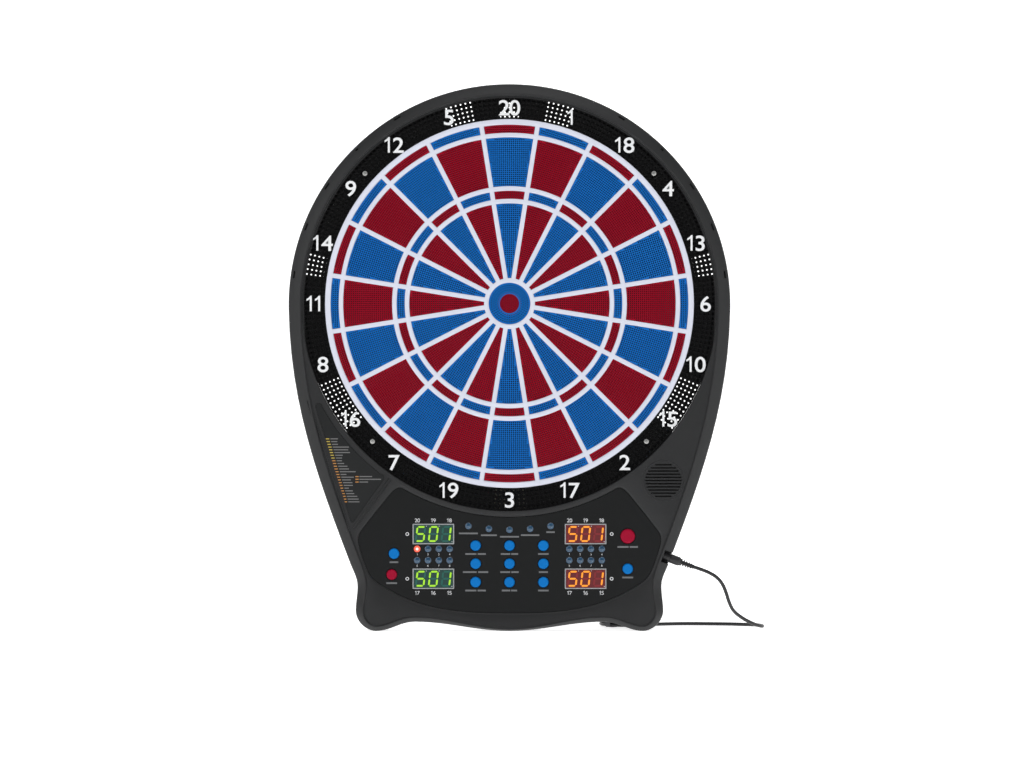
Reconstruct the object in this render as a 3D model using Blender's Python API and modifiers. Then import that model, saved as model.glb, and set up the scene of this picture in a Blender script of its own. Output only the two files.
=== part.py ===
"""Electronic soft-tip dartboard with its mains adapter.

The board stands on its two feet. X points to the player's right, Y points away from the player
and Z points up. The origin is under the middle of the board, halfway through its depth.
Lengths are in metres.
"""

import math

import bmesh
import bpy
from mathutils import Matrix, Vector
from mathutils.geometry import interpolate_bezier

# ---------------------------------------------------------------- driving dimensions

GAP = 0.0003  # clearance between pieces that touch
FIT = 0.0004  # clearance round a piece that sits in an opening

# Depths, measured back from the crest of the bezel.
DEPTH = 0.030
SEAM_DEPTH = 0.020  # where the bezel meets the rear cover
SLOPE_DEPTH = 0.0065  # how far the sloped border falls back
FACE_DEPTH = 0.0012  # the flat face lies this far behind the crest
WALL = 0.0022  # moulded wall of the bezel and the rear cover

# Target, radii about the bull.
BED_COUNT = 20
INNER_BULL_R = 0.0090
OUTER_BULL_R = 0.0195
BULL_COLLAR_R = 0.0242
INNER_SINGLE_R = 0.0952
TREBLE_IN_R = 0.0996
TREBLE_OUT_R = 0.1072
OUTER_SINGLE_IN_R = 0.1116
OUTER_SINGLE_R = 0.1580
DOUBLE_IN_R = 0.1623
DOUBLE_OUT_R = 0.1700
SPIDER_RIM = 0.0053
SPIDER_BAR = 0.0043  # width of the bars between two numbers
CATCH_WIDTH = 0.0214  # black ring that carries the numbers
RIM_WIDTH = 0.0133  # bezel outside that ring
LIP_WALL = 0.0016
TRAVEL = 0.0015  # how far a target bed can be pushed in
WEB_OUT_R = 0.1730  # the web that joins a number's four beds, behind the spider
WEB_IN_R = 0.0235
BULL_FLANGE_R = 0.0227
INNER_FLANGE_R = 0.0112

# Target, front to back.
SPIDER_DEPTH = 0.0025  # its front lies this far behind the crest
SPIDER_THICKNESS = 0.0060
BED_DEPTH = 0.0038
CATCH_DEPTH = 0.0038
CATCH_PLATE = 0.0025
CATCH_SKIRT = 0.0077
WEB_THICKNESS = 0.0015
MAT_THICKNESS = 0.0015
MEMBRANE_THICKNESS = 0.0008
BACKING_THICKNESS = 0.0030

# Number ring's walls and screws, and the sensor film's tail.
SKIRT_WALL = 0.0008
RING_SCREW_R = 0.0018
RING_SCREW_INSET = 0.0122
RING_SCREW_ANGLES = (48.0, 135.2)
TAIL_WIDTH = 0.030
TAIL_Z = 0.100

# Body.
HEAD_DROP = 0.0013  # the round head is centred this far below the bull
CONSOLE_TOP_Z = 0.1085  # top of the control panel on the middle line
FOOT_HALF_WIDTH = 0.1464
FOOT_Z = 0.0195
FOOT_SOLE_INSET = 0.0194
ANKLE_INSET = 0.0017
ANKLE_Z = 0.0425
CALF_OUTSET = 0.0051
CALF_Z = 0.0641
ARCH_X = 0.090
ARCH_Z = 0.0088
HEAD_TURN = 91.0  # the round head ends this far from the top, in degrees
RIM_CREST = 0.0021  # from the number ring's edge to the crest
RIDGE_WIDTH = 0.0015  # inner bevel of the crest
LIP_BACK_DEPTH = 0.0100
RIB_R = 0.110

# Control panel.
PANEL_TOP_GAP = 0.0061  # from the number ring's edge to the control panel
PANEL_DEPTH = 0.0022
PANEL_THICKNESS = 0.0020
PANEL_CHAMFER = 0.0020
BUTTON_TRAVEL = 0.0010
BUTTON_R = 0.0049
START_BUTTON_R = 0.0068
BUTTON_PROUD = 0.0017
BUTTON_PITCH_X = 0.0322
BUTTON_ROWS_Z = (0.0816, 0.0644, 0.0469)
BUTTON_FLANGE = 0.0012
BUTTON_STEM_R = 0.0018
BUTTON_CROWN = 0.0010
DISPLAY_SIZE = (0.0395, 0.0194)
DISPLAY_X = 0.0723
DISPLAY_Z = (0.0926, 0.0501)
LIGHT_R = 0.0031
LIGHT_PITCH = 0.0103
LIGHT_ROWS_Z = (0.0784, 0.0676)
LIGHT_PROUD = 0.0003
MODE_LIGHT_COUNT = 5
MODE_LIGHT_PITCH = 0.0196
MODE_LIGHT_DROP = 0.0119  # below the panel's top edge
STRIP_THICKNESS = 0.0015  # strip that joins a group of lights
STRIP_MARGIN = 0.0015

# Circuit board behind the panel.
BOARD_DEPTH = 0.0110
BOARD_SIZE = (0.244, 0.070)
BOARD_Z = 0.0710
BOARD_THICKNESS = 0.0016
BOARD_PARTS = ((0.0, 0.092, 0.034, 0.006, 0.0040), (-0.030, 0.060, 0.014, 0.014, 0.0020),
               (0.045, 0.062, 0.010, 0.020, 0.0060))  # x, z, width, height, thickness

# Speaker and game list.
SPEAKER_R = 0.0175
SPEAKER_RIM = 0.0010
SPEAKER_SLOTS = 11
SPEAKER_SLOT_PITCH = 0.0030
SPEAKER_SLOT = 0.0013
SPEAKER_ANGLE = 139.0
SPEAKER_SHARE = 0.41  # place of its centre between the number ring's edge and the flank
LIST_ANGLES = (117.6, 144.4)
LIST_MARGINS = (0.0150, 0.0184)  # to the body's outline at those two angles
LIST_THICKNESS = 0.0005
LIST_RECESS = 0.0010
LIST_CORNER = 0.0035

# Back.
KEYHOLE_ENTRY_R = 0.0055
KEYHOLE_SLOT = 0.0052
KEYHOLE_RISE = 0.0120
KEYHOLE_X = 0.110
KEYHOLE_LOW_Z = 0.130
TOP_KEYHOLE_R = 0.0090
TOP_KEYHOLE_INSET = 0.0155  # its entry's centre, in from the number ring's edge
WINDOW_OUTSET = 0.0016  # light windows, out from the number ring's edge
WINDOWS = ((14.5, 7.3, 0.0224), (78.6, 6.2, 0.0186), (120.3, 16.0, 0.0224))  # angle, span, width
BACK_CHAMFER = 0.0015

# Power lead.
JACK_Z = 0.0690
JACK_AXIS_DEPTH = 0.0115
JACK_NOTCH = 0.0080
JACK_NOTCH_WIDTH = 0.0120
JACK_BORDER = 0.0096  # width of the sloped border at the notch
POCKET_WALL = 0.0018
POCKET_LIP = 0.0010
JACK_R = 0.0046
JACK_LENGTH = 0.0120
BARREL_R = 0.00275
BARREL_LENGTH = 0.0095
PLUG_R = 0.0043
PLUG_LENGTH = 0.0180
RELIEF_LENGTH = 0.0115
RELIEF_R = 0.0031
RELIEF_RIBS = 5
CORD_R = 0.0017
CORD_SPACING = 0.0100  # between the points of a cord
COIL_MEAN_R = 0.0198
COIL_WIDTH = 0.0144
COIL_HEIGHT = 0.0144
COIL_CORNER = 0.0012
FLOOR_GAP = 0.0002  # what lies on the ground is drawn this far above it
COIL_CENTRE = (0.1140, 0.0550)
ADAPTER_SIZE = (0.052, 0.027, 0.034)
ADAPTER_PIN_R = 0.0020
ADAPTER_PIN_LENGTH = 0.0170
ADAPTER_PIN_PITCH = 0.0186
ADAPTER_PIN_INSET = 0.014
ADAPTER_RELIEF = 0.0140
ADAPTER_EDGE = 0.0030
ADAPTER_CORNER = (0.089, 0.048, 0.0150)  # it lies on the coil
ADAPTER_EXIT = (0.0615, 0.0220)  # y and z of its strain relief

# ---------------------------------------------------------------- derived dimensions

CREST_Y = -DEPTH / 2
BACK_Y = DEPTH / 2
FACE_Y = CREST_Y + FACE_DEPTH
SEAM_Y = CREST_Y + SEAM_DEPTH

SPIDER_R = DOUBLE_OUT_R + SPIDER_RIM
CATCH_R = SPIDER_R + GAP + CATCH_WIDTH
LIP_R = CATCH_R + FIT
HEAD_R = CATCH_R + RIM_WIDTH
PANEL_TOP_R = CATCH_R + PANEL_TOP_GAP
BULL_Z = CONSOLE_TOP_Z + PANEL_TOP_R

SPIDER_Y = CREST_Y + SPIDER_DEPTH
SPIDER_BACK_Y = SPIDER_Y + SPIDER_THICKNESS
WEB_Y = SPIDER_BACK_Y + GAP
WEB_BACK_Y = WEB_Y + WEB_THICKNESS
MAT_Y = WEB_BACK_Y + TRAVEL + GAP
MEMBRANE_Y = MAT_Y + MAT_THICKNESS + GAP
BACKING_Y = MEMBRANE_Y + MEMBRANE_THICKNESS + GAP
BACKING_BACK_Y = BACKING_Y + BACKING_THICKNESS

PANEL_Y = CREST_Y + PANEL_DEPTH
PANEL_BACK_Y = PANEL_Y + PANEL_THICKNESS

BOARD_Y = CREST_Y + BOARD_DEPTH
BED_Y = CREST_Y + BED_DEPTH
LIP_BACK_Y = CREST_Y + LIP_BACK_DEPTH
JACK_Y = CREST_Y + JACK_AXIS_DEPTH

# Facets of the round pieces, and how far a cutter runs past what it cuts.
HEAD_STEPS = 16
ROUND_STEPS = 48
MAT_STEPS = 40
RIB_STEPS = 24
BULL_STEPS = 20
COIL_STEPS = 20
SPEAKER_STEPS = 20
BUTTON_STEPS = 10
JACK_STEPS = 10
SMALL_STEPS = 8
LIGHT_STEPS = 6
KEYHOLE_STEPS = 8
CORNER_STEPS = 2
CURVE_STEPS = 24
WINDOW_STEP = 4
CUT_CLEAR = 0.003

BED_ANGLE = 360 / BED_COUNT
BED_NUMBERS = (20, 1, 18, 4, 13, 6, 10, 15, 2, 17, 3, 19, 7, 16, 8, 11, 14, 9, 12, 5)
BEDS = (
    (BULL_COLLAR_R, INNER_SINGLE_R, 1, 2),
    (TREBLE_IN_R, TREBLE_OUT_R, 1, 1),
    (OUTER_SINGLE_IN_R, OUTER_SINGLE_R, 1, 2),
    (DOUBLE_IN_R, DOUBLE_OUT_R, 2, 2),
)

# ---------------------------------------------------------------- scene and materials

for old in list(bpy.data.objects):
    bpy.data.objects.remove(old, do_unlink=True)

parts = bpy.data.collections.new("electronic_dartboard")
cutters = bpy.data.collections.new("cutters")
bpy.context.scene.collection.children.link(parts)
bpy.context.scene.collection.children.link(cutters)


def finish(name, colour, roughness, metallic=0.0):
    """A Principled material."""
    material = bpy.data.materials.new(name)
    material.use_nodes = True
    shader = material.node_tree.nodes["Principled BSDF"]
    shader.inputs["Base Color"].default_value = (*colour, 1)
    shader.inputs["Roughness"].default_value = roughness
    shader.inputs["Metallic"].default_value = metallic
    return material


CHARCOAL = finish("charcoal_abs", (0.028, 0.029, 0.031), 0.45)
BLACK = finish("black_abs", (0.006, 0.006, 0.007), 0.55)
GLOSS_BLACK = finish("gloss_black_panel", (0.010, 0.011, 0.012), 0.25)
WHITE = finish("white_spider", (0.68, 0.70, 0.80), 0.40)
BLUE = finish("blue_bed", (0.010, 0.075, 0.33), 0.50)
RED = finish("red_bed", (0.22, 0.006, 0.020), 0.50)
BUTTON_BLUE = finish("blue_button", (0.0, 0.22, 0.75), 0.30)
BUTTON_RED = finish("red_button", (0.50, 0.0, 0.035), 0.30)
SMOKED = finish("smoked_lens", (0.010, 0.035, 0.075), 0.15)
RUBBER = finish("mat_rubber", (0.02, 0.02, 0.02), 0.80)
FILM = finish("sensor_film", (0.45, 0.42, 0.30), 0.35)
FIBRE = finish("backing_fibre", (0.16, 0.10, 0.05), 0.85)
CIRCUIT = finish("circuit_board", (0.010, 0.10, 0.030), 0.40)
SILVER = finish("display_frame", (0.45, 0.46, 0.48), 0.35)
CORD_BLACK = finish("cord_sheath", (0.012, 0.012, 0.012), 0.50)

# ---------------------------------------------------------------- modelling tools


def add_object(name, mesh, material, collection=parts):
    """Puts a mesh in the scene as a piece, or as a hidden cutter."""
    piece = bpy.data.objects.new(name, mesh)
    collection.objects.link(piece)
    if collection is cutters:
        piece.hide_render = True
        piece.display_type = "WIRE"
    elif not mesh.materials:
        mesh.materials.append(material)
    return piece


def finished_mesh(name, bm):
    """Turns a bmesh into a welded mesh whose faces point out."""
    bmesh.ops.remove_doubles(bm, verts=bm.verts, dist=1e-6)
    bmesh.ops.recalc_face_normals(bm, faces=bm.faces)
    if bm.calc_volume(signed=True) < 0:
        bmesh.ops.reverse_faces(bm, faces=bm.faces)
    mesh = bpy.data.meshes.new(name)
    bm.to_mesh(mesh)
    bm.free()
    return mesh


def made_solid(source, name, material, collection=parts):
    """Replaces a curve or a piece with modifiers by its plain welded mesh, in place."""
    bpy.context.view_layer.update()
    graph = bpy.context.evaluated_depsgraph_get()
    bm = bmesh.new()
    raw = bpy.data.meshes.new_from_object(source.evaluated_get(graph))
    bm.from_mesh(raw)
    bm.transform(source.matrix_world)
    bpy.data.meshes.remove(raw)
    bpy.data.objects.remove(source, do_unlink=True)
    return add_object(name, finished_mesh(name, bm), material, collection)


def plate(name, loops, front, back, material, collection=parts):
    """A flat piece from y=front to y=back. The first loop is its outline, the rest are holes."""
    curve = bpy.data.curves.new(name, "CURVE")
    curve.dimensions = "2D"
    curve.fill_mode = "BOTH"
    curve.extrude = (back - front) / 2
    for loop in loops:
        spline = curve.splines.new("POLY")
        spline.points.add(len(loop) - 1)
        spline.use_cyclic_u = True
        for point, place in zip(spline.points, loop):
            point.co = (place[0], place[1], 0, 1)
    flat = bpy.data.objects.new(name, curve)
    flat.rotation_euler.x = math.radians(90)
    flat.location.y = (front + back) / 2
    bpy.context.scene.collection.objects.link(flat)
    return made_solid(flat, name, material, collection)


def turned(name, profile, steps, centre, axis, material, collection=parts):
    """A turned piece. The profile is (radius, distance along the axis), front end first."""
    mesh = bpy.data.meshes.new(name)
    on_axis = profile[0][0] == 0 and profile[-1][0] == 0
    edges = [(i, i + 1) for i in range(len(profile) - 1)]
    if not on_axis:
        edges.append((len(profile) - 1, 0))
    mesh.from_pydata([(r, 0, -d) for r, d in profile], edges, [])
    blank = bpy.data.objects.new(name, mesh)
    bpy.context.scene.collection.objects.link(blank)
    screw = blank.modifiers.new("Turn", "SCREW")
    screw.steps = steps
    screw.render_steps = steps
    screw.use_merge_vertices = True
    screw.merge_threshold = 1e-5
    turn = Vector((0, 0, -1)).rotation_difference(Vector(axis).normalized())
    blank.matrix_world = Matrix.Translation(centre) @ turn.to_matrix().to_4x4()
    return made_solid(blank, name, material, collection)


def block(name, low, high, material, collection=parts, edge=0.0):
    """A box between two corners, with its edges chamfered if edge is given."""
    bm = bmesh.new()
    low = Vector(low)
    size = Vector(high) - low
    bmesh.ops.create_cube(bm, size=1, matrix=Matrix.Diagonal((*size, 1)))
    bmesh.ops.translate(bm, verts=bm.verts, vec=low + size / 2)
    if edge:
        bmesh.ops.bevel(bm, geom=bm.edges, offset=edge, segments=1, profile=0.5, affect="EDGES")
    return add_object(name, finished_mesh(name, bm), material, collection)


def lofted(name, rings, material, collection=parts):
    """A closed body through rings of equal length, with a cap on the first and the last."""
    bm = bmesh.new()
    rows = [[bm.verts.new(point) for point in ring] for ring in rings]
    for row, following in zip(rows, rows[1:]):
        for i in range(len(row)):
            bm.faces.new((row[i - 1], row[i], following[i], following[i - 1]))
    bm.faces.new(rows[0])
    bm.faces.new(rows[-1])
    return add_object(name, finished_mesh(name, bm), material, collection)


def combine(piece, other, operation):
    """Boolean of a piece with another, which is used up."""
    modifier = piece.modifiers.new(operation.title(), "BOOLEAN")
    modifier.operation = operation
    modifier.solver = "EXACT"
    modifier.object = other
    bpy.context.view_layer.update()
    graph = bpy.context.evaluated_depsgraph_get()
    result = bpy.data.meshes.new_from_object(piece.evaluated_get(graph))
    bm = bmesh.new()
    bm.from_mesh(result)
    bmesh.ops.triangulate(bm, faces=bm.faces)
    bmesh.ops.remove_doubles(bm, verts=bm.verts, dist=1e-6)
    bm.to_mesh(result)
    bm.free()
    piece.modifiers.clear()
    old = piece.data
    piece.data = result
    result.name = old.name
    bpy.data.meshes.remove(old)
    bpy.data.objects.remove(other, do_unlink=True)
    while len(result.materials) > 1:
        result.materials.pop()


def cut(piece, cutter):
    combine(piece, cutter, "DIFFERENCE")


def join(piece, other):
    combine(piece, other, "UNION")


# ---------------------------------------------------------------- outlines


def heading_vector(degrees):
    return Vector((math.cos(math.radians(degrees)), math.sin(math.radians(degrees))))


def flowing(knots, steps):
    """A smooth line through knots of (position, heading in degrees). Extra coordinates ride along."""
    line = []
    for (start, leaving), (end, arriving) in zip(knots, knots[1:]):
        start, end = Vector(start), Vector(end)
        pull = 0.36 * (end.to_2d() - start.to_2d()).length
        handle_a = start + (heading_vector(leaving) * pull).to_3d()
        handle_b = end - (heading_vector(arriving) * pull).to_3d()
        line += interpolate_bezier(start, handle_a, handle_b, end, steps + 1)[:-1]
    line.append(Vector(knots[-1][0]))
    return line


def mirrored(half):
    """Closes a half outline that starts and ends on the middle line."""
    return half + [Vector((-p[0], *p[1:])) for p in reversed(half[1:-1])]


def polar(radius, degrees):
    """A point about the bull, clockwise from the top."""
    angle = math.radians(degrees)
    return Vector((radius * math.sin(angle), BULL_Z + radius * math.cos(angle)))


def arc(radius, start, end, steps):
    return [polar(radius, start + (end - start) * i / steps) for i in range(steps + 1)]


def circle(x, z, radius, steps):
    angles = [2 * math.pi * i / steps for i in range(steps)]
    return [Vector((x + radius * math.sin(a), z + radius * math.cos(a))) for a in angles]


def rectangle(x, z, width, height):
    dx, dz = width / 2, height / 2
    return [Vector((x - dx, z - dz)), Vector((x + dx, z - dz)),
            Vector((x + dx, z + dz)), Vector((x - dx, z + dz))]


def rounded(corners, radius, steps):
    """The same outline with each corner rounded off, less where the sides are short."""
    loop = []
    for i, corner in enumerate(corners):
        before = corners[i - 1] - corner
        after = corners[(i + 1) % len(corners)] - corner
        before *= min(radius / before.length, 0.4)
        after *= min(radius / after.length, 0.4)
        for k in range(steps + 1):
            t = k / steps
            loop.append(corner + before * (1 - t) ** 2 + after * t ** 2)
    return loop


def inset(loop, distances):
    """Moves each point of a clockwise loop inwards by its own distance."""
    moved = []
    for i, point in enumerate(loop):
        along = (loop[(i + 1) % len(loop)].to_2d() - loop[i - 1].to_2d()).normalized()
        inward = Vector((along.y, -along.x))
        moved.append(point.to_2d() + inward * distances[i])
    return moved


def reach(loop, degrees):
    """Distance from the bull to a loop in one direction."""
    centre = Vector((0, BULL_Z))
    ray = polar(1, degrees) - centre
    found = []
    for a, b in zip(loop, loop[1:] + loop[:1]):
        a, b = a.to_2d() - centre, b.to_2d() - centre
        side_a, side_b = ray.cross(a), ray.cross(b)
        if side_a * side_b <= 0 and side_a != side_b:
            crossing = a.lerp(b, side_a / (side_a - side_b))
            found.append(crossing.dot(ray))
    return max(found)


def wedge(r_in, r_out, side, steps_in, steps_out):
    """One bed's outline, upright about the origin: two arcs, and sides drawn in from the bed's limits."""
    corners = []
    for radius, steps, way in ((r_in, steps_in, 1), (r_out, steps_out, -1)):
        half = math.radians(BED_ANGLE / 2) - math.asin(side / radius)
        for i in range(steps + 1):
            angle = way * half * (2 * i / steps - 1)
            corners.append(Vector((radius * math.sin(angle), radius * math.cos(angle))))
    return corners


def placed(loop, degrees):
    """Turns an outline about the bull to the given clock angle."""
    turn = Matrix.Rotation(-math.radians(degrees), 2)
    return [turn @ p + Vector((0, BULL_Z)) for p in loop]


def at_depth(loop, y):
    return [Vector((p[0], y, p[1])) for p in loop]


def head_point(degrees):
    """A point on the round head with the width of its sloped border."""
    angle = math.radians(degrees)
    x = HEAD_R * math.sin(angle)
    z = BULL_Z - HEAD_DROP + HEAD_R * math.cos(angle)
    border = math.hypot(x, z - BULL_Z) - CATCH_R - RIM_CREST
    return Vector((x, z, border))


def body_outline():
    """The whole silhouette, clockwise from the top, as (x, z, width of the sloped border)."""
    head = [head_point(HEAD_TURN * i / HEAD_STEPS) for i in range(HEAD_STEPS)]
    hip = head_point(HEAD_TURN)
    sole_x = FOOT_HALF_WIDTH - FOOT_SOLE_INSET
    knots = (
        (hip, -HEAD_TURN),
        ((FOOT_HALF_WIDTH + CALF_OUTSET, CALF_Z, 0.0095), -111),
        ((FOOT_HALF_WIDTH - ANKLE_INSET, ANKLE_Z, 0.0080), -90),
        ((FOOT_HALF_WIDTH, FOOT_Z, 0.0070), -90),
        ((sole_x, 0, 0.0045), 180),
        ((ARCH_X, ARCH_Z, 0.0045), 180),
        ((0, 0, 0.0020), 180),
    )
    half = head + flowing(knots, 4)
    for point in half:
        point.y = max(point.y, 0)
    return mirrored(half)


BODY = body_outline()
BORDERS = [p.z for p in BODY]
SILHOUETTE = [p.to_2d() for p in BODY]


def body_ring(y, share, extra):
    """The body's outline drawn in by a share of its border and a plain distance."""
    return at_depth(inset(SILHOUETTE, [share * b + extra for b in BORDERS]), y)


def flank(z):
    """The point of the right flank at a height, and the flank's outward normal in XZ."""
    half = [p for p in SILHOUETTE[: len(SILHOUETTE) // 2 + 1]]
    for a, b in zip(half, half[1:]):
        if a.y >= z > b.y and a.x > FOOT_HALF_WIDTH:
            along = (b - a).normalized()
            return a.lerp(b, (a.y - z) / (a.y - b.y)), Vector((-along.y, along.x))
    raise ValueError("the flank does not reach this height")


def panel_loop(margin):
    """Outline of the control panel, drawn in by a margin."""
    top = arc(PANEL_TOP_R, 180, 180 - 30, 8)
    knots = (
        ((*top[-1], 0), 30),
        ((0.1145, 0.1288, 0), -51),
        ((0.1412, 0.0950, 0), -53),
        ((0.1425, 0.0800, 0), -106),
        ((0.1340, 0.0560, 0), -117),
        ((0.1171, 0.0412, 0), -149),
        ((0, 0.0176, 0), 180),
    )
    half = top[:-1] + [p.to_2d() for p in flowing(knots, 3)]
    loop = mirrored(half)
    return inset(loop, [margin] * len(loop))


def list_loop(margin):
    """Outline of the game list plate, drawn in by a margin."""
    first, last = LIST_ANGLES
    inner = arc(PANEL_TOP_R, -first, -last, 6)
    low = polar(reach(SILHOUETTE, -last) - LIST_MARGINS[1], -last)
    high = polar(reach(SILHOUETTE, -first) - LIST_MARGINS[0], -first)
    loop = rounded([inner[0], inner[-1], low, high], LIST_CORNER, CORNER_STEPS)
    loop[CORNER_STEPS + 1:CORNER_STEPS + 1] = inner[1:-1]
    return inset(loop, [margin] * len(loop))


# ---------------------------------------------------------------- places on the body

BULL = Vector((0, 0, BULL_Z))
BACKWARDS = (0, 1, 0)
LIST_Y = FACE_Y + LIST_RECESS - GAP
SPEAKER = polar(CATCH_R + SPEAKER_SHARE * (reach(SILHOUETTE, SPEAKER_ANGLE) - CATCH_R), SPEAKER_ANGLE)
JACK_FLANK, FLANK_OUT = flank(JACK_Z)
OUT_OF_JACK = Vector((FLANK_OUT.x, 0, FLANK_OUT.y))

MODE_R = PANEL_TOP_R + MODE_LIGHT_DROP
MODE_STEP = math.degrees(math.asin(MODE_LIGHT_PITCH / MODE_R))
MODE_HALF = MODE_STEP * (MODE_LIGHT_COUNT - 1) / 2
MODE_LIGHTS = [polar(MODE_R, 180 + MODE_STEP * (i - (MODE_LIGHT_COUNT - 1) / 2))
               for i in range(MODE_LIGHT_COUNT)]
MODE_STRIP = (arc(MODE_R + LIGHT_R + STRIP_MARGIN, 179 - MODE_HALF, 181 + MODE_HALF, 8)
              + arc(MODE_R - LIGHT_R - STRIP_MARGIN, 181 + MODE_HALF, 179 - MODE_HALF, 8))
LIGHTS_Z = sum(LIGHT_ROWS_Z) / 2
LIGHT_STRIP_SIZE = (3 * LIGHT_PITCH + 2 * LIGHT_R + STRIP_MARGIN,
                    LIGHT_ROWS_Z[0] - LIGHT_ROWS_Z[1] + 2 * LIGHT_R + STRIP_MARGIN)


def light_grid(x):
    """Two rows of four score lights."""
    return [Vector((x + (i - 1.5) * LIGHT_PITCH, z)) for z in LIGHT_ROWS_Z for i in range(4)]


LEFT_LIGHTS = light_grid(-DISPLAY_X)
RIGHT_LIGHTS = light_grid(DISPLAY_X)

GRID_NAMES = (("button_miss", "button_bounce_out", "button_player"),
              ("button_score", "button_guard", "button_game"),
              ("button_match", "button_handicap", "button_select"))
BUTTONS = [
    (GRID_NAMES[row][column], BUTTON_PITCH_X * (column - 1), BUTTON_ROWS_Z[row], BUTTON_R, BUTTON_BLUE)
    for row in range(3) for column in range(3)
] + [
    ("button_reset", -0.1097, 0.0740, BUTTON_R, BUTTON_BLUE),
    ("button_power", -0.1119, 0.0541, BUTTON_R, BUTTON_RED),
    ("button_start", 0.1123, 0.0905, START_BUTTON_R, BUTTON_RED),
    ("button_sound", 0.1123, 0.0595, BUTTON_R, BUTTON_BLUE),
]

# The lead hangs from the plug, reaches the ground, turns back and runs behind the board.
CORD_ROUTE = (
    (0.1746, -0.0035, 0.0611), (0.1830, -0.0035, 0.0583), (0.1905, -0.0034, 0.0552),
    (0.1975, -0.0030, 0.0508), (0.2028, -0.0022, 0.0446), (0.2067, -0.0008, 0.0358),
    (0.2097, 0.0014, 0.0268), (0.2141, 0.0045, 0.0186), (0.2215, 0.0088, 0.0122),
    (0.2303, 0.0140, 0.0069), (0.2384, 0.0203, 0.0034), (0.2432, 0.0283, 0.0020),
    (0.2435, 0.0375, 0.0019), (0.2383, 0.0452, 0.0019), (0.2290, 0.0500, 0.0019),
    (0.2150, 0.0555, 0.0019), (0.1950, 0.0590, 0.0019), (0.1750, 0.0595, 0.0020),
    (0.1570, 0.0545, 0.0022), (0.1460, 0.0483, 0.0024),
)
TAIL_ROUTE = ((0.0860, 0.0304, 0.0123), (0.0810, 0.0310, 0.0120), (0.0695, 0.0340, 0.0118),
              (0.0610, 0.0395, 0.0126), (0.0578, 0.0463, 0.0145), (0.0603, 0.0540, 0.0175),
              (0.0668, 0.0594, 0.0202), (0.0742, 0.0613, 0.0218))

# ---------------------------------------------------------------- housing


def front_bezel():
    """The moulded front: a shell with a sloped border, cut for the target and the panel."""
    shell = lofted("front_bezel", [
        body_ring(FACE_Y + WALL, 1, RIDGE_WIDTH + WALL),
        body_ring(CREST_Y + SLOPE_DEPTH + WALL / 2, 0, WALL),
        body_ring(SEAM_Y, 0, WALL),
        body_ring(SEAM_Y, 0, 0),
        body_ring(CREST_Y + SLOPE_DEPTH, 0, 0),
        body_ring(CREST_Y, 1, 0),
        body_ring(FACE_Y, 1, RIDGE_WIDTH),
    ], CHARCOAL)
    lip_in, lip_out = LIP_R - WALL, LIP_R + LIP_WALL
    join(shell, turned("lip", [
        (lip_out, FACE_Y + WALL / 2), (lip_out, LIP_BACK_Y), (lip_in, LIP_BACK_Y), (lip_in, FACE_Y + WALL / 2),
    ], ROUND_STEPS, BULL, BACKWARDS, None, cutters))
    cut(shell, turned("target_cut", [
        (0, CREST_Y - CUT_CLEAR), (LIP_R, CREST_Y - CUT_CLEAR), (LIP_R, 0), (0, 0),
    ], ROUND_STEPS, BULL, BACKWARDS, None, cutters))
    opening = panel_loop(-FIT)
    flare = panel_loop(-FIT - PANEL_CHAMFER)
    cut(shell, lofted("panel_cut", [
        at_depth(flare, CREST_Y - CUT_CLEAR),
        at_depth(flare, FACE_Y - CUT_CLEAR / 10),
        at_depth(opening, FACE_Y + PANEL_CHAMFER / 2),
        at_depth(opening, FACE_Y + WALL + CUT_CLEAR),
    ], None, cutters))
    cut(shell, plate("list_cut", [list_loop(-FIT)], CREST_Y - CUT_CLEAR, FACE_Y + LIST_RECESS,
                     None, cutters))
    cut(shell, speaker_slots())
    join(shell, jack_pocket(POCKET_LIP, JACK_NOTCH + POCKET_WALL, JACK_NOTCH_WIDTH / 2 + POCKET_WALL,
                            JACK_Y + JACK_NOTCH_WIDTH / 2 + POCKET_WALL, POCKET_LIP, "pocket"))
    cut(shell, jack_pocket(-CUT_CLEAR, JACK_NOTCH, JACK_NOTCH_WIDTH / 2,
                           JACK_Y + JACK_NOTCH_WIDTH / 2, -DEPTH, "notch_cut"))
    cut(shell, turned("jack_cut", [
        (0, -CUT_CLEAR), (JACK_R + FIT, -CUT_CLEAR), (JACK_R + FIT, CUT_CLEAR), (0, CUT_CLEAR),
    ], JACK_STEPS, along_jack(JACK_NOTCH + POCKET_WALL / 2), OUT_OF_JACK, None, cutters))
    return shell


def speaker_slots():
    """Cutter for the grille: level slots that end on a circle."""
    loops = []
    for i in range(SPEAKER_SLOTS):
        rise = (i - (SPEAKER_SLOTS - 1) / 2) * SPEAKER_SLOT_PITCH
        half = math.sqrt(SPEAKER_R ** 2 - (abs(rise) + SPEAKER_SLOT / 2) ** 2)
        loops.append(rectangle(SPEAKER.x, SPEAKER.y + rise, 2 * half, SPEAKER_SLOT))
    return plate("speaker_cut", loops, CREST_Y - CUT_CLEAR, FACE_Y + WALL + CUT_CLEAR, None, cutters)


def along_jack(inside):
    """A point on the jack's axis, this far inside the flank."""
    return Vector((JACK_FLANK.x, JACK_Y, JACK_FLANK.y)) - OUT_OF_JACK * inside


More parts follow.
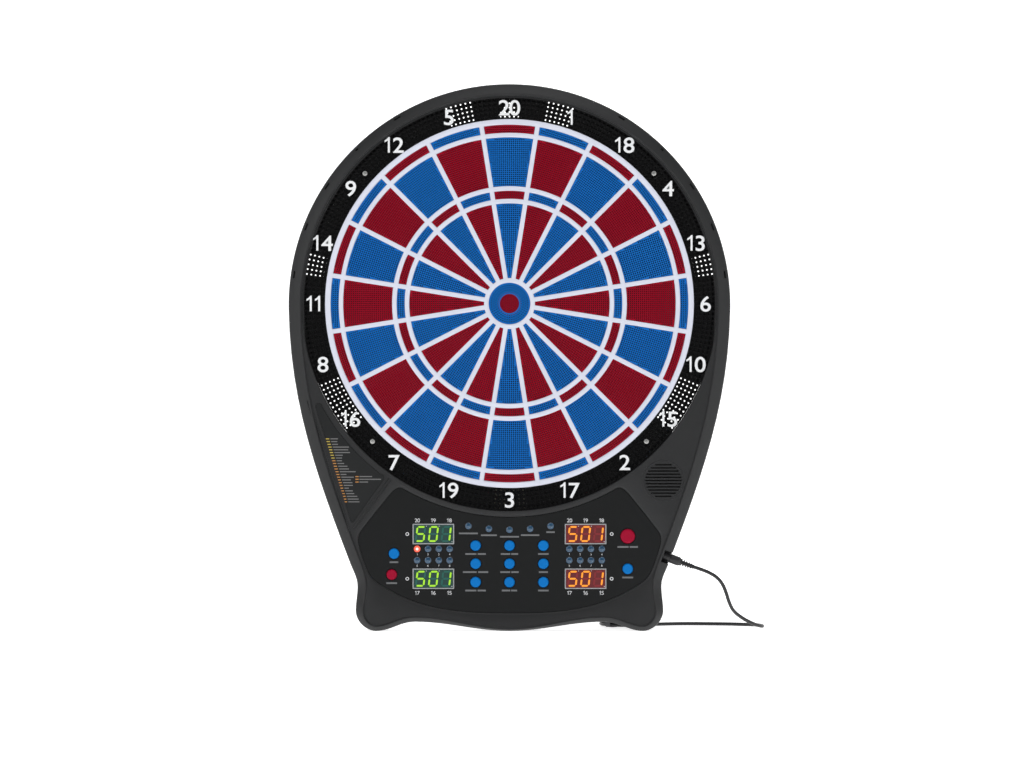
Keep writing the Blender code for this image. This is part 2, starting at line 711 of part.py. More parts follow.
def jack_pocket(near, far, half_width, back, lift, name):
    """A prism across the flank, under the slope by lift. Depths near and far are from the flank."""
    side = Vector((OUT_OF_JACK.z, 0, -OUT_OF_JACK.x))
    slope = SLOPE_DEPTH / JACK_BORDER
    rings = []
    for way in (-1, 1):
        ring = []
        for inside in (near, far):
            front = CREST_Y + SLOPE_DEPTH - slope * max(inside, 0) + lift
            for y in (front, back) if inside == near else (back, front):
                point = along_jack(inside) + side * half_width * way
                ring.append(Vector((point.x, y, point.z)))
        rings.append(ring)
    return lofted(name, rings, None, cutters)


def rear_cover():
    """The moulded back: a tray with hanging holes, light windows and a support rib."""
    seam = SEAM_Y + GAP
    tray = lofted("rear_cover", [
        body_ring(BACK_Y - WALL, 0, WALL),
        body_ring(seam, 0, WALL),
        body_ring(seam, 0, 0),
        body_ring(BACK_Y - BACK_CHAMFER, 0, 0),
        body_ring(BACK_Y, 0, BACK_CHAMFER),
    ], BLACK)
    rib_y = BACKING_BACK_Y + GAP
    join(tray, turned("rib", [
        (RIB_R, rib_y), (RIB_R, BACK_Y - WALL / 2), (RIB_R - WALL, BACK_Y - WALL / 2), (RIB_R - WALL, rib_y),
    ], RIB_STEPS, BULL, BACKWARDS, None, cutters))
    loops = [keyhole(0, BULL_Z + CATCH_R - TOP_KEYHOLE_INSET, TOP_KEYHOLE_R)]
    for side in (-1, 1):
        loops.append(keyhole(side * KEYHOLE_X, KEYHOLE_LOW_Z, KEYHOLE_ENTRY_R))
        for angle, span, width in WINDOWS:
            loops.append(window(side * angle, span, width))
    cut(tray, plate("back_cut", loops, BACK_Y - WALL - CUT_CLEAR, BACK_Y + CUT_CLEAR, None, cutters))
    return tray


def keyhole(x, z, entry_r):
    """A round entry with a narrower slot above it."""
    half = KEYHOLE_SLOT / 2
    entry = math.degrees(math.asin(half / entry_r))
    loop = []
    for i in range(KEYHOLE_STEPS + 1):
        angle = math.radians(entry + (360 - 2 * entry) * i / KEYHOLE_STEPS)
        loop.append(Vector((x + entry_r * math.sin(angle), z + entry_r * math.cos(angle))))
    top = z + KEYHOLE_RISE
    for i in range(KEYHOLE_STEPS // 2 + 1):
        angle = math.radians(-90 + 180 * i / (KEYHOLE_STEPS // 2))
        loop.append(Vector((x + half * math.sin(angle), top + half * math.cos(angle))))
    return loop


def window(angle, span, width):
    """An opening behind a stretch of the number ring, where daylight shows through its holes."""
    high = CATCH_R + WINDOW_OUTSET
    low = high - width
    steps = max(2, round(span / WINDOW_STEP))
    start, end = angle - span / 2, angle + span / 2
    return arc(high, start, end, steps) + arc(low, end, start, steps)


# ---------------------------------------------------------------- target


def catch_ring():
    """The black number ring: a perforated channel round the target, held by four screws."""
    inner = SPIDER_R + GAP
    front = CREST_Y + CATCH_DEPTH
    behind, skirt = front + CATCH_PLATE, front + CATCH_SKIRT
    ring = turned("catch_ring", [
        (CATCH_R, front), (CATCH_R, skirt), (CATCH_R - SKIRT_WALL, skirt), (CATCH_R - SKIRT_WALL, behind),
        (inner + SKIRT_WALL, behind), (inner + SKIRT_WALL, skirt), (inner, skirt), (inner, front),
    ], ROUND_STEPS, BULL, BACKWARDS, BLACK)
    loops = []
    for angle in RING_SCREW_ANGLES:
        for side in (1, -1):
            spot = polar(CATCH_R - RING_SCREW_INSET, side * angle)
            loops.append(circle(spot.x, spot.y, RING_SCREW_R, SMALL_STEPS))
    cut(ring, plate("screw_cut", loops, front - CUT_CLEAR, behind + CUT_CLEAR, None, cutters))
    return ring


def spider():
    """The white grid: one moulding with a window for every bed."""
    loops = [circle(0, BULL_Z, SPIDER_R, ROUND_STEPS), circle(0, BULL_Z, OUTER_BULL_R + GAP, BULL_STEPS)]
    for i in range(BED_COUNT):
        for r_in, r_out, steps_in, steps_out in BEDS:
            window_loop = wedge(r_in, r_out, SPIDER_BAR / 2, steps_in, steps_out)
            loops.append(placed(window_loop, i * BED_ANGLE))
    return plate("spider", loops, SPIDER_Y, SPIDER_BACK_Y, WHITE)


def sector_mesh():
    """One number's four beds on their common web, about the bull's axis."""
    web_loop = wedge(WEB_IN_R, WEB_OUT_R, GAP, 2, 3)
    sector = plate("sector", [web_loop], WEB_Y, WEB_BACK_Y, RED)
    beds = [wedge(r_in + GAP, r_out - GAP, SPIDER_BAR / 2 + GAP, steps_in, steps_out)
            for r_in, r_out, steps_in, steps_out in BEDS]
    join(sector, plate("beds", beds, BED_Y, WEB_Y + WEB_THICKNESS / 2, RED))
    mesh = sector.data
    bpy.data.objects.remove(sector, do_unlink=True)
    return mesh


def sectors():
    """Twenty sprung sectors, clockwise from the top, in the two colours by turns."""
    meshes = [sector_mesh()]
    meshes.append(meshes[0].copy())
    for mesh, material in zip(meshes, (RED, BLUE)):
        mesh.materials.clear()
        mesh.materials.append(material)
    for i, number in enumerate(BED_NUMBERS):
        sector = add_object(f"sector_{number}", meshes[i % 2], None)
        sector.location = BULL
        sector.rotation_euler.y = math.radians(i * BED_ANGLE)


def bulls():
    """The two centre targets, one inside the other."""
    bore = INNER_BULL_R + GAP
    step_y = WEB_Y - TRAVEL - 2 * GAP
    turned("outer_bull", [
        (OUTER_BULL_R, BED_Y), (OUTER_BULL_R, WEB_Y), (BULL_FLANGE_R, WEB_Y), (BULL_FLANGE_R, WEB_BACK_Y),
        (INNER_FLANGE_R + GAP, WEB_BACK_Y), (INNER_FLANGE_R + GAP, step_y), (bore, step_y), (bore, BED_Y),
    ], BULL_STEPS, BULL, BACKWARDS, BLUE)
    turned("inner_bull", [
        (0, BED_Y), (INNER_BULL_R, BED_Y), (INNER_BULL_R, WEB_Y), (INNER_FLANGE_R, WEB_Y),
        (INNER_FLANGE_R, WEB_BACK_Y), (0, WEB_BACK_Y),
    ], BULL_STEPS, BULL, BACKWARDS, RED)


def sensor_stack():
    """What the beds press on: a rubber mat, the switch film with its tail, and a stiff backing."""
    disc = circle(0, BULL_Z, WEB_OUT_R, MAT_STEPS)
    plate("pressure_mat", [disc], MAT_Y, MAT_Y + MAT_THICKNESS, RUBBER)
    tail = [Vector((x, TAIL_Z)) for x in (TAIL_WIDTH / 2, -TAIL_WIDTH / 2)]
    gap_angle = math.degrees(math.asin(TAIL_WIDTH / 2 / WEB_OUT_R))
    film = arc(WEB_OUT_R, gap_angle - 180, 180 - gap_angle, MAT_STEPS) + tail
    plate("sensor_membrane", [film], MEMBRANE_Y, MEMBRANE_Y + MEMBRANE_THICKNESS, FILM)
    plate("backing_plate", [disc], BACKING_Y, BACKING_BACK_Y, FIBRE)


# ---------------------------------------------------------------- console


def control_panel():
    """The glossy fascia, with openings for the displays, lights and buttons."""
    loops = [panel_loop(0)]
    for x in (-DISPLAY_X, DISPLAY_X):
        for z in DISPLAY_Z:
            loops.append(rectangle(x, z, DISPLAY_SIZE[0] + 2 * GAP, DISPLAY_SIZE[1] + 2 * GAP))
    for _, x, z, radius, _ in BUTTONS:
        loops.append(circle(x, z, radius + FIT, BUTTON_STEPS))
    for spot in MODE_LIGHTS + LEFT_LIGHTS + RIGHT_LIGHTS:
        loops.append(circle(spot.x, spot.y, LIGHT_R + GAP, LIGHT_STEPS))
    return plate("control_panel", loops, PANEL_Y, PANEL_BACK_Y, GLOSS_BLACK)


def displays():
    """Four three-digit score displays, two for each side."""
    for side, x in (("left", -DISPLAY_X), ("right", DISPLAY_X)):
        for level, z in zip(("upper", "lower"), DISPLAY_Z):
            half_x, half_z = DISPLAY_SIZE[0] / 2, DISPLAY_SIZE[1] / 2
            block(f"display_{level}_{side}", (x - half_x, PANEL_Y - LIGHT_PROUD, z - half_z),
                  (x + half_x, BOARD_Y - GAP, z + half_z), SILVER)


def light_bar(name, spots, strip):
    """Clear lenses that stand through the fascia, moulded on one strip behind it."""
    strip_y = PANEL_BACK_Y + GAP
    bar = plate(name, [strip], strip_y, strip_y + STRIP_THICKNESS, SMOKED)
    lenses = [circle(spot.x, spot.y, LIGHT_R, LIGHT_STEPS) for spot in spots]
    join(bar, plate("lenses", lenses, PANEL_Y - LIGHT_PROUD, strip_y + STRIP_THICKNESS / 2, SMOKED))


def buttons():
    """Sprung push buttons, each with a flange behind the fascia and a stem to its switch."""
    flange_y = PANEL_BACK_Y + GAP
    back = flange_y + BUTTON_FLANGE
    top = PANEL_Y - BUTTON_PROUD
    for name, x, z, radius, material in BUTTONS:
        turned(name, [
            (0, top), (0.8 * radius, top), (radius, top + BUTTON_CROWN),
            (radius, flange_y), (radius + BUTTON_FLANGE, flange_y), (radius + BUTTON_FLANGE, back),
            (BUTTON_STEM_R, back), (BUTTON_STEM_R, BOARD_Y - BUTTON_TRAVEL - GAP),
            (0, BOARD_Y - BUTTON_TRAVEL - GAP),
        ], BUTTON_STEPS, (x, 0, z), BACKWARDS, material)


def main_board():
    """The circuit board behind the fascia, with its sound chip and the film's connector."""
    back = BOARD_Y + BOARD_THICKNESS
    board = plate("main_board", [rectangle(0, BOARD_Z, *BOARD_SIZE)], BOARD_Y, back, CIRCUIT)
    for x, z, width, height, thickness in BOARD_PARTS:
        join(board, block("chip", (x - width / 2, back - GAP, z - height / 2),
                          (x + width / 2, back + thickness, z + height / 2), CIRCUIT))


def speaker():
    """A small round loudspeaker behind the grille."""
    front = FACE_Y + WALL + GAP
    rim, magnet = SPEAKER_R + SPEAKER_RIM, SPEAKER_R / 2
    turned("speaker", [
        (0, front + 0.0022), (0.004, front + 0.0020), (SPEAKER_R - 0.002, front + 0.0006), (rim, front),
        (rim, front + 0.0020), (magnet, front + 0.0065), (magnet, front + 0.0120), (0, front + 0.0120),
    ], SPEAKER_STEPS, (SPEAKER.x, 0, SPEAKER.y), BACKWARDS, BLACK)


# ---------------------------------------------------------------- power lead


def jack_and_plug():
    """The socket in its notch, and the moulded plug with a ribbed strain relief."""
    face = JACK_NOTCH - GAP / 2
    bore = BARREL_R + FIT
    turned("dc_jack", [
        (0, -JACK_LENGTH), (JACK_R, -JACK_LENGTH), (JACK_R, 0), (bore, 0), (bore, 0.002 - JACK_LENGTH),
        (0, 0.002 - JACK_LENGTH),
    ], JACK_STEPS, along_jack(face), OUT_OF_JACK, BLACK)
    profile = [(0, -BARREL_LENGTH), (BARREL_R, -BARREL_LENGTH), (BARREL_R, 0),
               (PLUG_R - 0.0005, 0), (PLUG_R, 0.001), (PLUG_R, PLUG_LENGTH - 0.002),
               (RELIEF_R, PLUG_LENGTH)]
    pitch = RELIEF_LENGTH / RELIEF_RIBS
    for i in range(RELIEF_RIBS):
        start = PLUG_LENGTH + i * pitch
        taper = 1 - 0.35 * i / RELIEF_RIBS
        profile += [(RELIEF_R * taper, start + 0.4 * pitch), (RELIEF_R * taper * 0.68, start + 0.7 * pitch)]
    profile += [(CORD_R + GAP, PLUG_LENGTH + RELIEF_LENGTH), (0, PLUG_LENGTH + RELIEF_LENGTH)]
    turned("dc_plug", profile, JACK_STEPS, along_jack(face - GAP), OUT_OF_JACK, CORD_BLACK)


def smooth_route(route, spacing):
    """Evenly spaced points on a smooth curve through the route's points."""
    dense = []
    for i in range(len(route) - 1):
        before = route[max(i - 1, 0)]
        start, end = route[i], route[i + 1]
        after = route[min(i + 2, len(route) - 1)]
        for k in range(CURVE_STEPS):
            t = k / CURVE_STEPS
            dense.append(0.5 * (2 * start + (end - before) * t
                                + (2 * before - 5 * start + 4 * end - after) * t ** 2
                                + (3 * start - before - 3 * end + after) * t ** 3))
    dense.append(route[-1])
    lengths = [0.0]
    for a, b in zip(dense, dense[1:]):
        lengths.append(lengths[-1] + (b - a).length)
    count = max(2, round(lengths[-1] / spacing))
    points = []
    k = 0
    for i in range(count + 1):
        target = lengths[-1] * i / count
        while k < len(dense) - 2 and lengths[k + 1] < target:
            k += 1
        share = (target - lengths[k]) / (lengths[k + 1] - lengths[k])
        points.append(dense[k].lerp(dense[k + 1], min(share, 1)))
    return points


def cord(name, route):
    """A stretch of round cord."""
    points = smooth_route([Vector(p) for p in route], CORD_SPACING)
    curve = bpy.data.curves.new(name, "CURVE")
    curve.dimensions = "3D"
    curve.bevel_depth = CORD_R
    curve.bevel_resolution = 2
    curve.use_fill_caps = True
    spline = curve.splines.new("POLY")
    spline.points.add(len(points) - 1)
    for point, place in zip(spline.points, points):
        point.co = (*place, 1)
    curve.materials.append(CORD_BLACK)
    parts.objects.link(bpy.data.objects.new(name, curve))


def coil():
    """The spare length, wound into a tied coil that lies behind the board."""
    outer, inner = COIL_MEAN_R + COIL_WIDTH / 2, COIL_MEAN_R - COIL_WIDTH / 2
    low, high, corner = FLOOR_GAP, FLOOR_GAP + COIL_HEIGHT, COIL_CORNER
    turned("cord_coil", [
        (outer - corner, low), (inner + corner, low), (inner, low + corner), (inner, high - corner),
        (inner + corner, high), (outer - corner, high), (outer, high - corner), (outer, low + corner),
    ], COIL_STEPS, (*COIL_CENTRE, 0), (0, 0, 1), CORD_BLACK)


def power_adapter():
    """The plug-in mains adapter, lying on the coil with its pins towards the board."""
    low = Vector(ADAPTER_CORNER)
    high = low + Vector(ADAPTER_SIZE)
    body = block("power_adapter", low, high, BLACK, edge=ADAPTER_EDGE)
    middle_z = (low.z + high.z) / 2
    pin_x = high.x - ADAPTER_PIN_INSET
    for side in (-1, 1):
        join(body, turned("pin", [
            (0, -0.002), (ADAPTER_PIN_R, -0.002), (ADAPTER_PIN_R, ADAPTER_PIN_LENGTH - 0.001),
            (ADAPTER_PIN_R / 2, ADAPTER_PIN_LENGTH), (0, ADAPTER_PIN_LENGTH),
        ], SMALL_STEPS, (pin_x, low.y, middle_z + side * ADAPTER_PIN_PITCH / 2), (0, -1, 0), None))
    join(body, turned("relief", [
        (0, -0.002), (0.0035, -0.002), (0.0035, 0), (CORD_R + GAP, ADAPTER_RELIEF), (0, ADAPTER_RELIEF),
    ], SMALL_STEPS, (low.x, *ADAPTER_EXIT), (-1, 0, 0), None))


# ---------------------------------------------------------------- assembly

front_bezel()
rear_cover()
catch_ring()
spider()
sectors()
bulls()
sensor_stack()
control_panel()
plate("game_list_plate", [list_loop(0)], LIST_Y - LIST_THICKNESS, LIST_Y, GLOSS_BLACK)
displays()
light_bar("mode_lights", MODE_LIGHTS, MODE_STRIP)
light_bar("score_lights_left", LEFT_LIGHTS, rectangle(-DISPLAY_X, LIGHTS_Z, *LIGHT_STRIP_SIZE))
light_bar("score_lights_right", RIGHT_LIGHTS, rectangle(DISPLAY_X, LIGHTS_Z, *LIGHT_STRIP_SIZE))
buttons()
main_board()
speaker()
jack_and_plug()
cord("supply_cord", CORD_ROUTE)
cord("cord_tail", TAIL_ROUTE)
coil()
power_adapter()
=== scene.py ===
import math

import bmesh
import bpy
from mathutils import Matrix, Vector
from mathutils.geometry import interpolate_bezier


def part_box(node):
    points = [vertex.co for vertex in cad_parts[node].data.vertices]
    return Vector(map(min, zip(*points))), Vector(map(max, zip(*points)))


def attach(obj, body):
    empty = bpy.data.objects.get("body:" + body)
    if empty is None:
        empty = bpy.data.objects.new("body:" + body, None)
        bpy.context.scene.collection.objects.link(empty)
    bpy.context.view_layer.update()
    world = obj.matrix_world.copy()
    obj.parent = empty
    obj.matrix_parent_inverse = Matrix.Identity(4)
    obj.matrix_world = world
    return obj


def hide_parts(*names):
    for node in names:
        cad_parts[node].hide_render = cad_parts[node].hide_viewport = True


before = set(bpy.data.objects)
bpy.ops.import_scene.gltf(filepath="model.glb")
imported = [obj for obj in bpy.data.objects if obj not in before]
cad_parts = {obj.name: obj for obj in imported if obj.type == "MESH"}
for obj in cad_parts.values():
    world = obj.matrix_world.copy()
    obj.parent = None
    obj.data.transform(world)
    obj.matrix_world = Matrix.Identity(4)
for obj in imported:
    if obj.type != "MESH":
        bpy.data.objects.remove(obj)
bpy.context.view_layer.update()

# ------------------------------------------------------------------ studio
# A pale floor that curves up into a backdrop, two soft boxes at the front and one overhead.
# The camera stands straight in front of the board, a little below its middle.


class Amount:
    """An output of a node. Sums written on it add Math nodes to its material."""

    def __init__(self, paint, socket):
        self.paint = paint
        self.socket = socket

    def __add__(self, other):
        return self.paint.node("ShaderNodeMath", {"operation": "ADD"}, {0: self, 1: other})

    def __sub__(self, other):
        return self.paint.node("ShaderNodeMath", {"operation": "SUBTRACT"}, {0: self, 1: other})

    def __mul__(self, other):
        return self.paint.node("ShaderNodeMath", {"operation": "MULTIPLY"}, {0: self, 1: other})

    __radd__ = __add__
    __rmul__ = __mul__


class Paint:
    """A material, built on its Principled shader."""

    def __init__(self, name, **constants):
        self.material = bpy.data.materials.new(name)
        self.material.use_nodes = True
        self.tree = self.material.node_tree
        self.shader = self.tree.nodes["Principled BSDF"]
        self.feed(self.shader, {key.replace("_", " "): value for key, value in constants.items()})
        self.place = self.node("ShaderNodeTexCoord", output="Object")

    def feed(self, node, inputs):
        """Sets the sockets of a node to values or links."""
        for key, value in inputs.items():
            socket = node.inputs[key]
            if isinstance(value, Amount):
                self.tree.links.new(value.socket, socket)
            elif socket.type == "RGBA" and len(value) == 3:
                socket.default_value = (*value, 1)
            else:
                socket.default_value = value

    def node(self, kind, settings=None, inputs=None, output=0):
        """Adds a node, with its settings first and then its sockets, and gives one output."""
        made = self.tree.nodes.new(kind)
        for key, value in (settings or {}).items():
            setattr(made, key, value)
        self.feed(made, inputs or {})
        return Amount(self, made.outputs[output])

    def noise(self, size, detail=2.0, rough=0.5, stretch=None):
        """Soft noise from 0 to 1, with blobs of this size in metres."""
        place = self.place
        if stretch:
            place = self.node("ShaderNodeMapping", {}, {"Vector": place, "Scale": stretch})
        return self.node("ShaderNodeTexNoise", {},
                         {"Vector": place, "Scale": 1 / size, "Detail": detail, "Roughness": rough})

    def mixed(self, share, first, second):
        """A colour between two colours."""
        return self.node("ShaderNodeMix", {"data_type": "RGBA"}, {0: share, 6: first, 7: second}, 2)

    def bumped(self, height, distance):
        """A normal raised by a height from 0 to 1 over this distance in metres."""
        return self.node("ShaderNodeBump", {}, {"Height": height, "Distance": distance})

    def finish(self, **inputs):
        """Feeds the shader and gives the material."""
        self.feed(self.shader, {key.replace("_", " "): value for key, value in inputs.items()})
        return self.material


def shade(colour, factor):
    """A colour made lighter or darker."""
    return tuple(min(part * factor, 1) for part in colour)


def moulded(name, colour, roughness, grain=0.0007, depth=0.00003, mottle=0.15, scuff=0.06, **constants):
    """Moulded plastic: a fine spark-eroded grain, faint flow mottling and a little handling wear."""
    paint = Paint(name, **constants)
    cloud = paint.noise(0.035, 3)
    fine = paint.noise(grain, 2, 0.6)
    worn = paint.noise(0.012, 4, 0.7, (1.0, 1.0, 0.35))
    return paint.finish(
        Base_Color=paint.mixed(cloud * 0.7 + fine * 0.3, shade(colour, 1 - mottle),
                               shade(colour, 1 + mottle)),
        Roughness=roughness + (worn - 0.5) * scuff + (cloud - 0.5) * 0.06,
        Normal=paint.bumped(fine, depth))


def studio_paint():
    """Matt white paper that glows a little, so that it stays nearly white."""
    paint = Paint("paper", Emission_Strength=0.82, Specular_IOR_Level=0.0)
    fibre = paint.noise(0.02, 3)
    return paint.finish(Base_Color=paint.mixed(fibre, (0.90, 0.90, 0.90), (0.93, 0.93, 0.93)),
                        Emission_Color=paint.mixed(fibre, (0.98, 0.98, 0.98), (1.0, 1.0, 1.0)),
                        Roughness=0.95)


def backdrop():
    """The floor, a quarter turn and a wall, in one sheet."""
    depth, radius, height = 1.6, 0.9, 3.2
    bm = bmesh.new()
    ends = [bm.verts.new((x, -6.0, 0)) for x in (-5.0, 5.0)]
    edge = bm.edges.new(ends)
    floor = bmesh.ops.extrude_edge_only(bm, edges=[edge])["geom"]
    row = [part for part in floor if isinstance(part, bmesh.types.BMVert)]
    bmesh.ops.translate(bm, verts=row, vec=(0, 6.0 + depth, 0))
    line = [part for part in floor if isinstance(part, bmesh.types.BMEdge)]
    turned_up = bmesh.ops.spin(bm, geom=row + line, cent=(0, depth, radius), axis=(1, 0, 0),
                               dvec=(0, 0, 0), angle=math.pi / 2, steps=24)["geom_last"]
    line = [part for part in turned_up if isinstance(part, bmesh.types.BMEdge)]
    wall = bmesh.ops.extrude_edge_only(bm, edges=line)["geom"]
    row = [part for part in wall if isinstance(part, bmesh.types.BMVert)]
    bmesh.ops.translate(bm, verts=row, vec=(0, 0, height))
    for face in bm.faces:
        face.smooth = True
        face.normal_update()
        if face.normal.z < 0 or face.normal.y > 0:
            face.normal_flip()
    mesh = bpy.data.meshes.new("backdrop")
    bm.to_mesh(mesh)
    bm.free()
    mesh.materials.append(studio_paint())
    sheet = bpy.data.objects.new("backdrop", mesh)
    bpy.context.scene.collection.objects.link(sheet)


def soft_box(name, place, aim, width, height, watts):
    """A large rectangular lamp that faces a point."""
    lamp = bpy.data.lights.new(name, "AREA")
    lamp.shape = "RECTANGLE"
    lamp.size = width
    lamp.size_y = height
    lamp.energy = watts
    holder = bpy.data.objects.new(name, lamp)
    holder.location = place
    holder.rotation_euler = (Vector(aim) - Vector(place)).to_track_quat("-Z", "Y").to_euler()
    bpy.context.scene.collection.objects.link(holder)


backdrop()
soft_box("box_left", (-2.3, -1.7, 1.3), (0, 0, 0.28), 1.6, 2.0, 22)
soft_box("box_right", (2.4, -1.6, 1.0), (0, 0, 0.25), 1.6, 2.0, 13)
soft_box("box_above", (0.2, -0.9, 2.4), (0, 0.0, 0.30), 2.2, 1.2, 18)

world = bpy.data.worlds.new("studio")
world.use_nodes = True
world.node_tree.nodes["Background"].inputs["Color"].default_value = (0.95, 0.97, 1.0, 1)
world.node_tree.nodes["Background"].inputs["Strength"].default_value = 0.17
bpy.context.scene.world = world
bpy.context.scene.view_settings.view_transform = "Standard"

VIEW_DISTANCE = 3.0125
VIEW_WIDTH = 0.9728  # across the picture at the panel's depth
camera = bpy.data.objects.new("camera", bpy.data.cameras.new("camera"))
camera.data.sensor_width = 36
camera.data.lens = 36 * (VIEW_DISTANCE - 0.0128) / VIEW_WIDTH
camera.location = (0.0024, -VIEW_DISTANCE, 0.2351)
camera.rotation_euler = (math.radians(90), 0, 0)
bpy.context.scene.collection.objects.link(camera)
bpy.context.scene.camera = camera

# ------------------------------------------------------------------ mains lead
# A 1.8 m two-core PVC lead from the plug to the adapter. It hangs from the plug, turns back on the
# ground and is wound into a tied coil behind the board.

CORD_R = 0.0017
COIL_CENTRE = Vector((0.1140, 0.0550, 0))
COIL_RADII = (0.0252, 0.0216, 0.0180, 0.0144)
COIL_START = 310  # degrees round the coil where the lead joins it
TURNS = 12
TURN_STEPS = 18
# Column and row of each turn, and the stretch of the turn in which the lead moves to the next place.
COLUMNS = (0, 1, 2, 3, 3, 2, 1, 0, 0, 1, 2, 3, 3)
ROWS = (0, 0, 0, 0, 1, 1, 1, 1, 2, 2, 2, 2, 3)
MOVES = ((62, 8), (62, 8), (62, 8), (120, 64), (178, 122), (178, 122), (178, 122), (236, 180),
         (294, 238), (294, 238), (294, 238), (352, 296))
LEAD = [
    (0.1746, -0.0035, 0.0611), (0.1830, -0.0035, 0.0583), (0.1905, -0.0034, 0.0552),
    (0.1975, -0.0030, 0.0508), (0.2028, -0.0022, 0.0446), (0.2067, -0.0008, 0.0358),
    (0.2097, 0.0014, 0.0268), (0.2141, 0.0045, 0.0186), (0.2215, 0.0088, 0.0122),
    (0.2303, 0.0140, 0.0069), (0.2384, 0.0203, 0.0034), (0.2432, 0.0283, 0.0020),
    (0.2435, 0.0375, 0.0019), (0.2383, 0.0452, 0.0019), (0.2290, 0.0500, 0.0019),
    (0.2150, 0.0555, 0.0019), (0.1950, 0.0590, 0.0019), (0.1750, 0.0595, 0.0020),
    (0.1570, 0.0545, 0.0022), (0.1394, 0.0434, 0.0025),
]
TAIL = [
    (0.1045, 0.0298, 0.0128), (0.0930, 0.0301, 0.0126), (0.0810, 0.0310, 0.0120), (0.0695, 0.0340, 0.0118),
    (0.0610, 0.0395, 0.0126), (0.0578, 0.0463, 0.0145), (0.0603, 0.0540, 0.0175), (0.0668, 0.0594, 0.0202),
    (0.0750, 0.0615, 0.0219), (0.0860, 0.0615, 0.0220),
]


def eased(share):
    """0 to 1 with a soft start and end."""
    share = min(max(share, 0), 1)
    return 2 * share ** 2 if share < 0.5 else 1 - 2 * (1 - share) ** 2


def coil_points():
    """The middle of the cord through all its turns, out of the coil along the last one's tangent."""
    points = []
    for step in range(TURNS * TURN_STEPS + 3):
        turn = min(step // TURN_STEPS, TURNS - 1)
        left = 360 * (turn + 1 - step / TURN_STEPS)
        start, end = MOVES[turn]
        share = eased((start - left) / (start - end))
        row = ROWS[turn] + (ROWS[turn + 1] - ROWS[turn]) * share
        if turn < TURNS - 1:
            radius = COIL_RADII[COLUMNS[turn]]
            radius += (COIL_RADII[COLUMNS[turn + 1]] - radius) * share
        else:
            radius = COIL_RADII[3] + (COIL_RADII[0] - COIL_RADII[3]) * eased((296 - left) / 336)
        angle = math.radians(COIL_START - 360 * step / TURN_STEPS)
        height = 0.0026 + 2 * CORD_R * row
        points.append(COIL_CENTRE + Vector((radius * math.cos(angle), radius * math.sin(angle), height)))
    return points


def pvc(name):
    """Black PVC sheath, satin, with faint lengthwise mottling."""
    return moulded(name, (0.012, 0.012, 0.013), 0.42, grain=0.0009, depth=0.00002, mottle=0.3)


def placed(name, data, paint, body, stands_for=()):
    """Links a finished piece, and says what it rides on and what it stands for."""
    data.materials.append(paint)
    piece = bpy.data.objects.new(name, data)
    bpy.context.scene.collection.objects.link(piece)
    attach(piece, body)
    if stands_for:
        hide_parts(*stands_for)
    return piece


def mesh_of(name, bm, sharp=35, outwards=True):
    """Welds a bmesh, turns its faces outwards and smooths what is rounder than the sharp angle."""
    bmesh.ops.remove_doubles(bm, verts=bm.verts, dist=2e-6)
    if outwards:
        bmesh.ops.recalc_face_normals(bm, faces=bm.faces)
    for face in bm.faces:
        face.smooth = True
    mesh = bpy.data.meshes.new(name)
    bm.to_mesh(mesh)
    bm.free()
    mesh.set_sharp_from_angle(angle=math.radians(sharp))
    return mesh


def made(name, bm, paint, body, slot, stands_for=(), **smoothing):
    """Makes a bmesh a finished piece."""
    return placed(name, mesh_of(name, bm, **smoothing), paint, body, stands_for)


def turned(profile, steps, centre=(0, 0, 0), axis=(0, 1, 0)):
    """Spins a profile of (radius, distance along the axis) about an axis through the centre."""
    bm = bmesh.new()
    verts = [bm.verts.new((radius, 0, -along)) for radius, along in profile]
    edges = [bm.edges.new(pair) for pair in zip(verts, verts[1:])]
    if profile[0][0] or profile[-1][0]:
        edges.append(bm.edges.new((verts[-1], verts[0])))
    bmesh.ops.spin(bm, geom=verts + edges, cent=(0, 0, 0), axis=(0, 0, 1), dvec=(0, 0, 0),
                   angle=2 * math.pi, steps=steps, use_merge=True)
    bmesh.ops.remove_doubles(bm, verts=bm.verts, dist=2e-6)
    lean = Vector((0, 0, -1)).rotation_difference(Vector(axis).normalized())
    bm.transform(Matrix.Translation(centre) @ lean.to_matrix().to_4x4())
    bmesh.ops.recalc_face_normals(bm, faces=bm.faces)
    return bm


def softened(bm, edges, width, segments=2):
    """Rounds edges over."""
    bmesh.ops.bevel(bm, geom=edges, offset=width, offset_type="OFFSET", segments=segments,
                    profile=0.5, affect="EDGES", material=-1, clamp_overlap=True)


def brick(low, high, edge=0.0, segments=2):
    """A box between two corners with rounded edges."""
    bm = bmesh.new()
    size = Vector(high) - Vector(low)
    bmesh.ops.create_cube(bm, size=1, matrix=Matrix.Translation(Vector(low) + size / 2)
                          @ Matrix.Diagonal((*size, 1)))
    if edge:
        softened(bm, bm.edges[:], edge, segments)
    return bm


def gathered(*parts):
    """Several bmeshes as one."""
    whole = bmesh.new()
    for part in parts:
        mesh = bpy.data.meshes.new("part")
        part.to_mesh(mesh)
        part.free()
        whole.from_mesh(mesh)
        bpy.data.meshes.remove(mesh)
    return whole


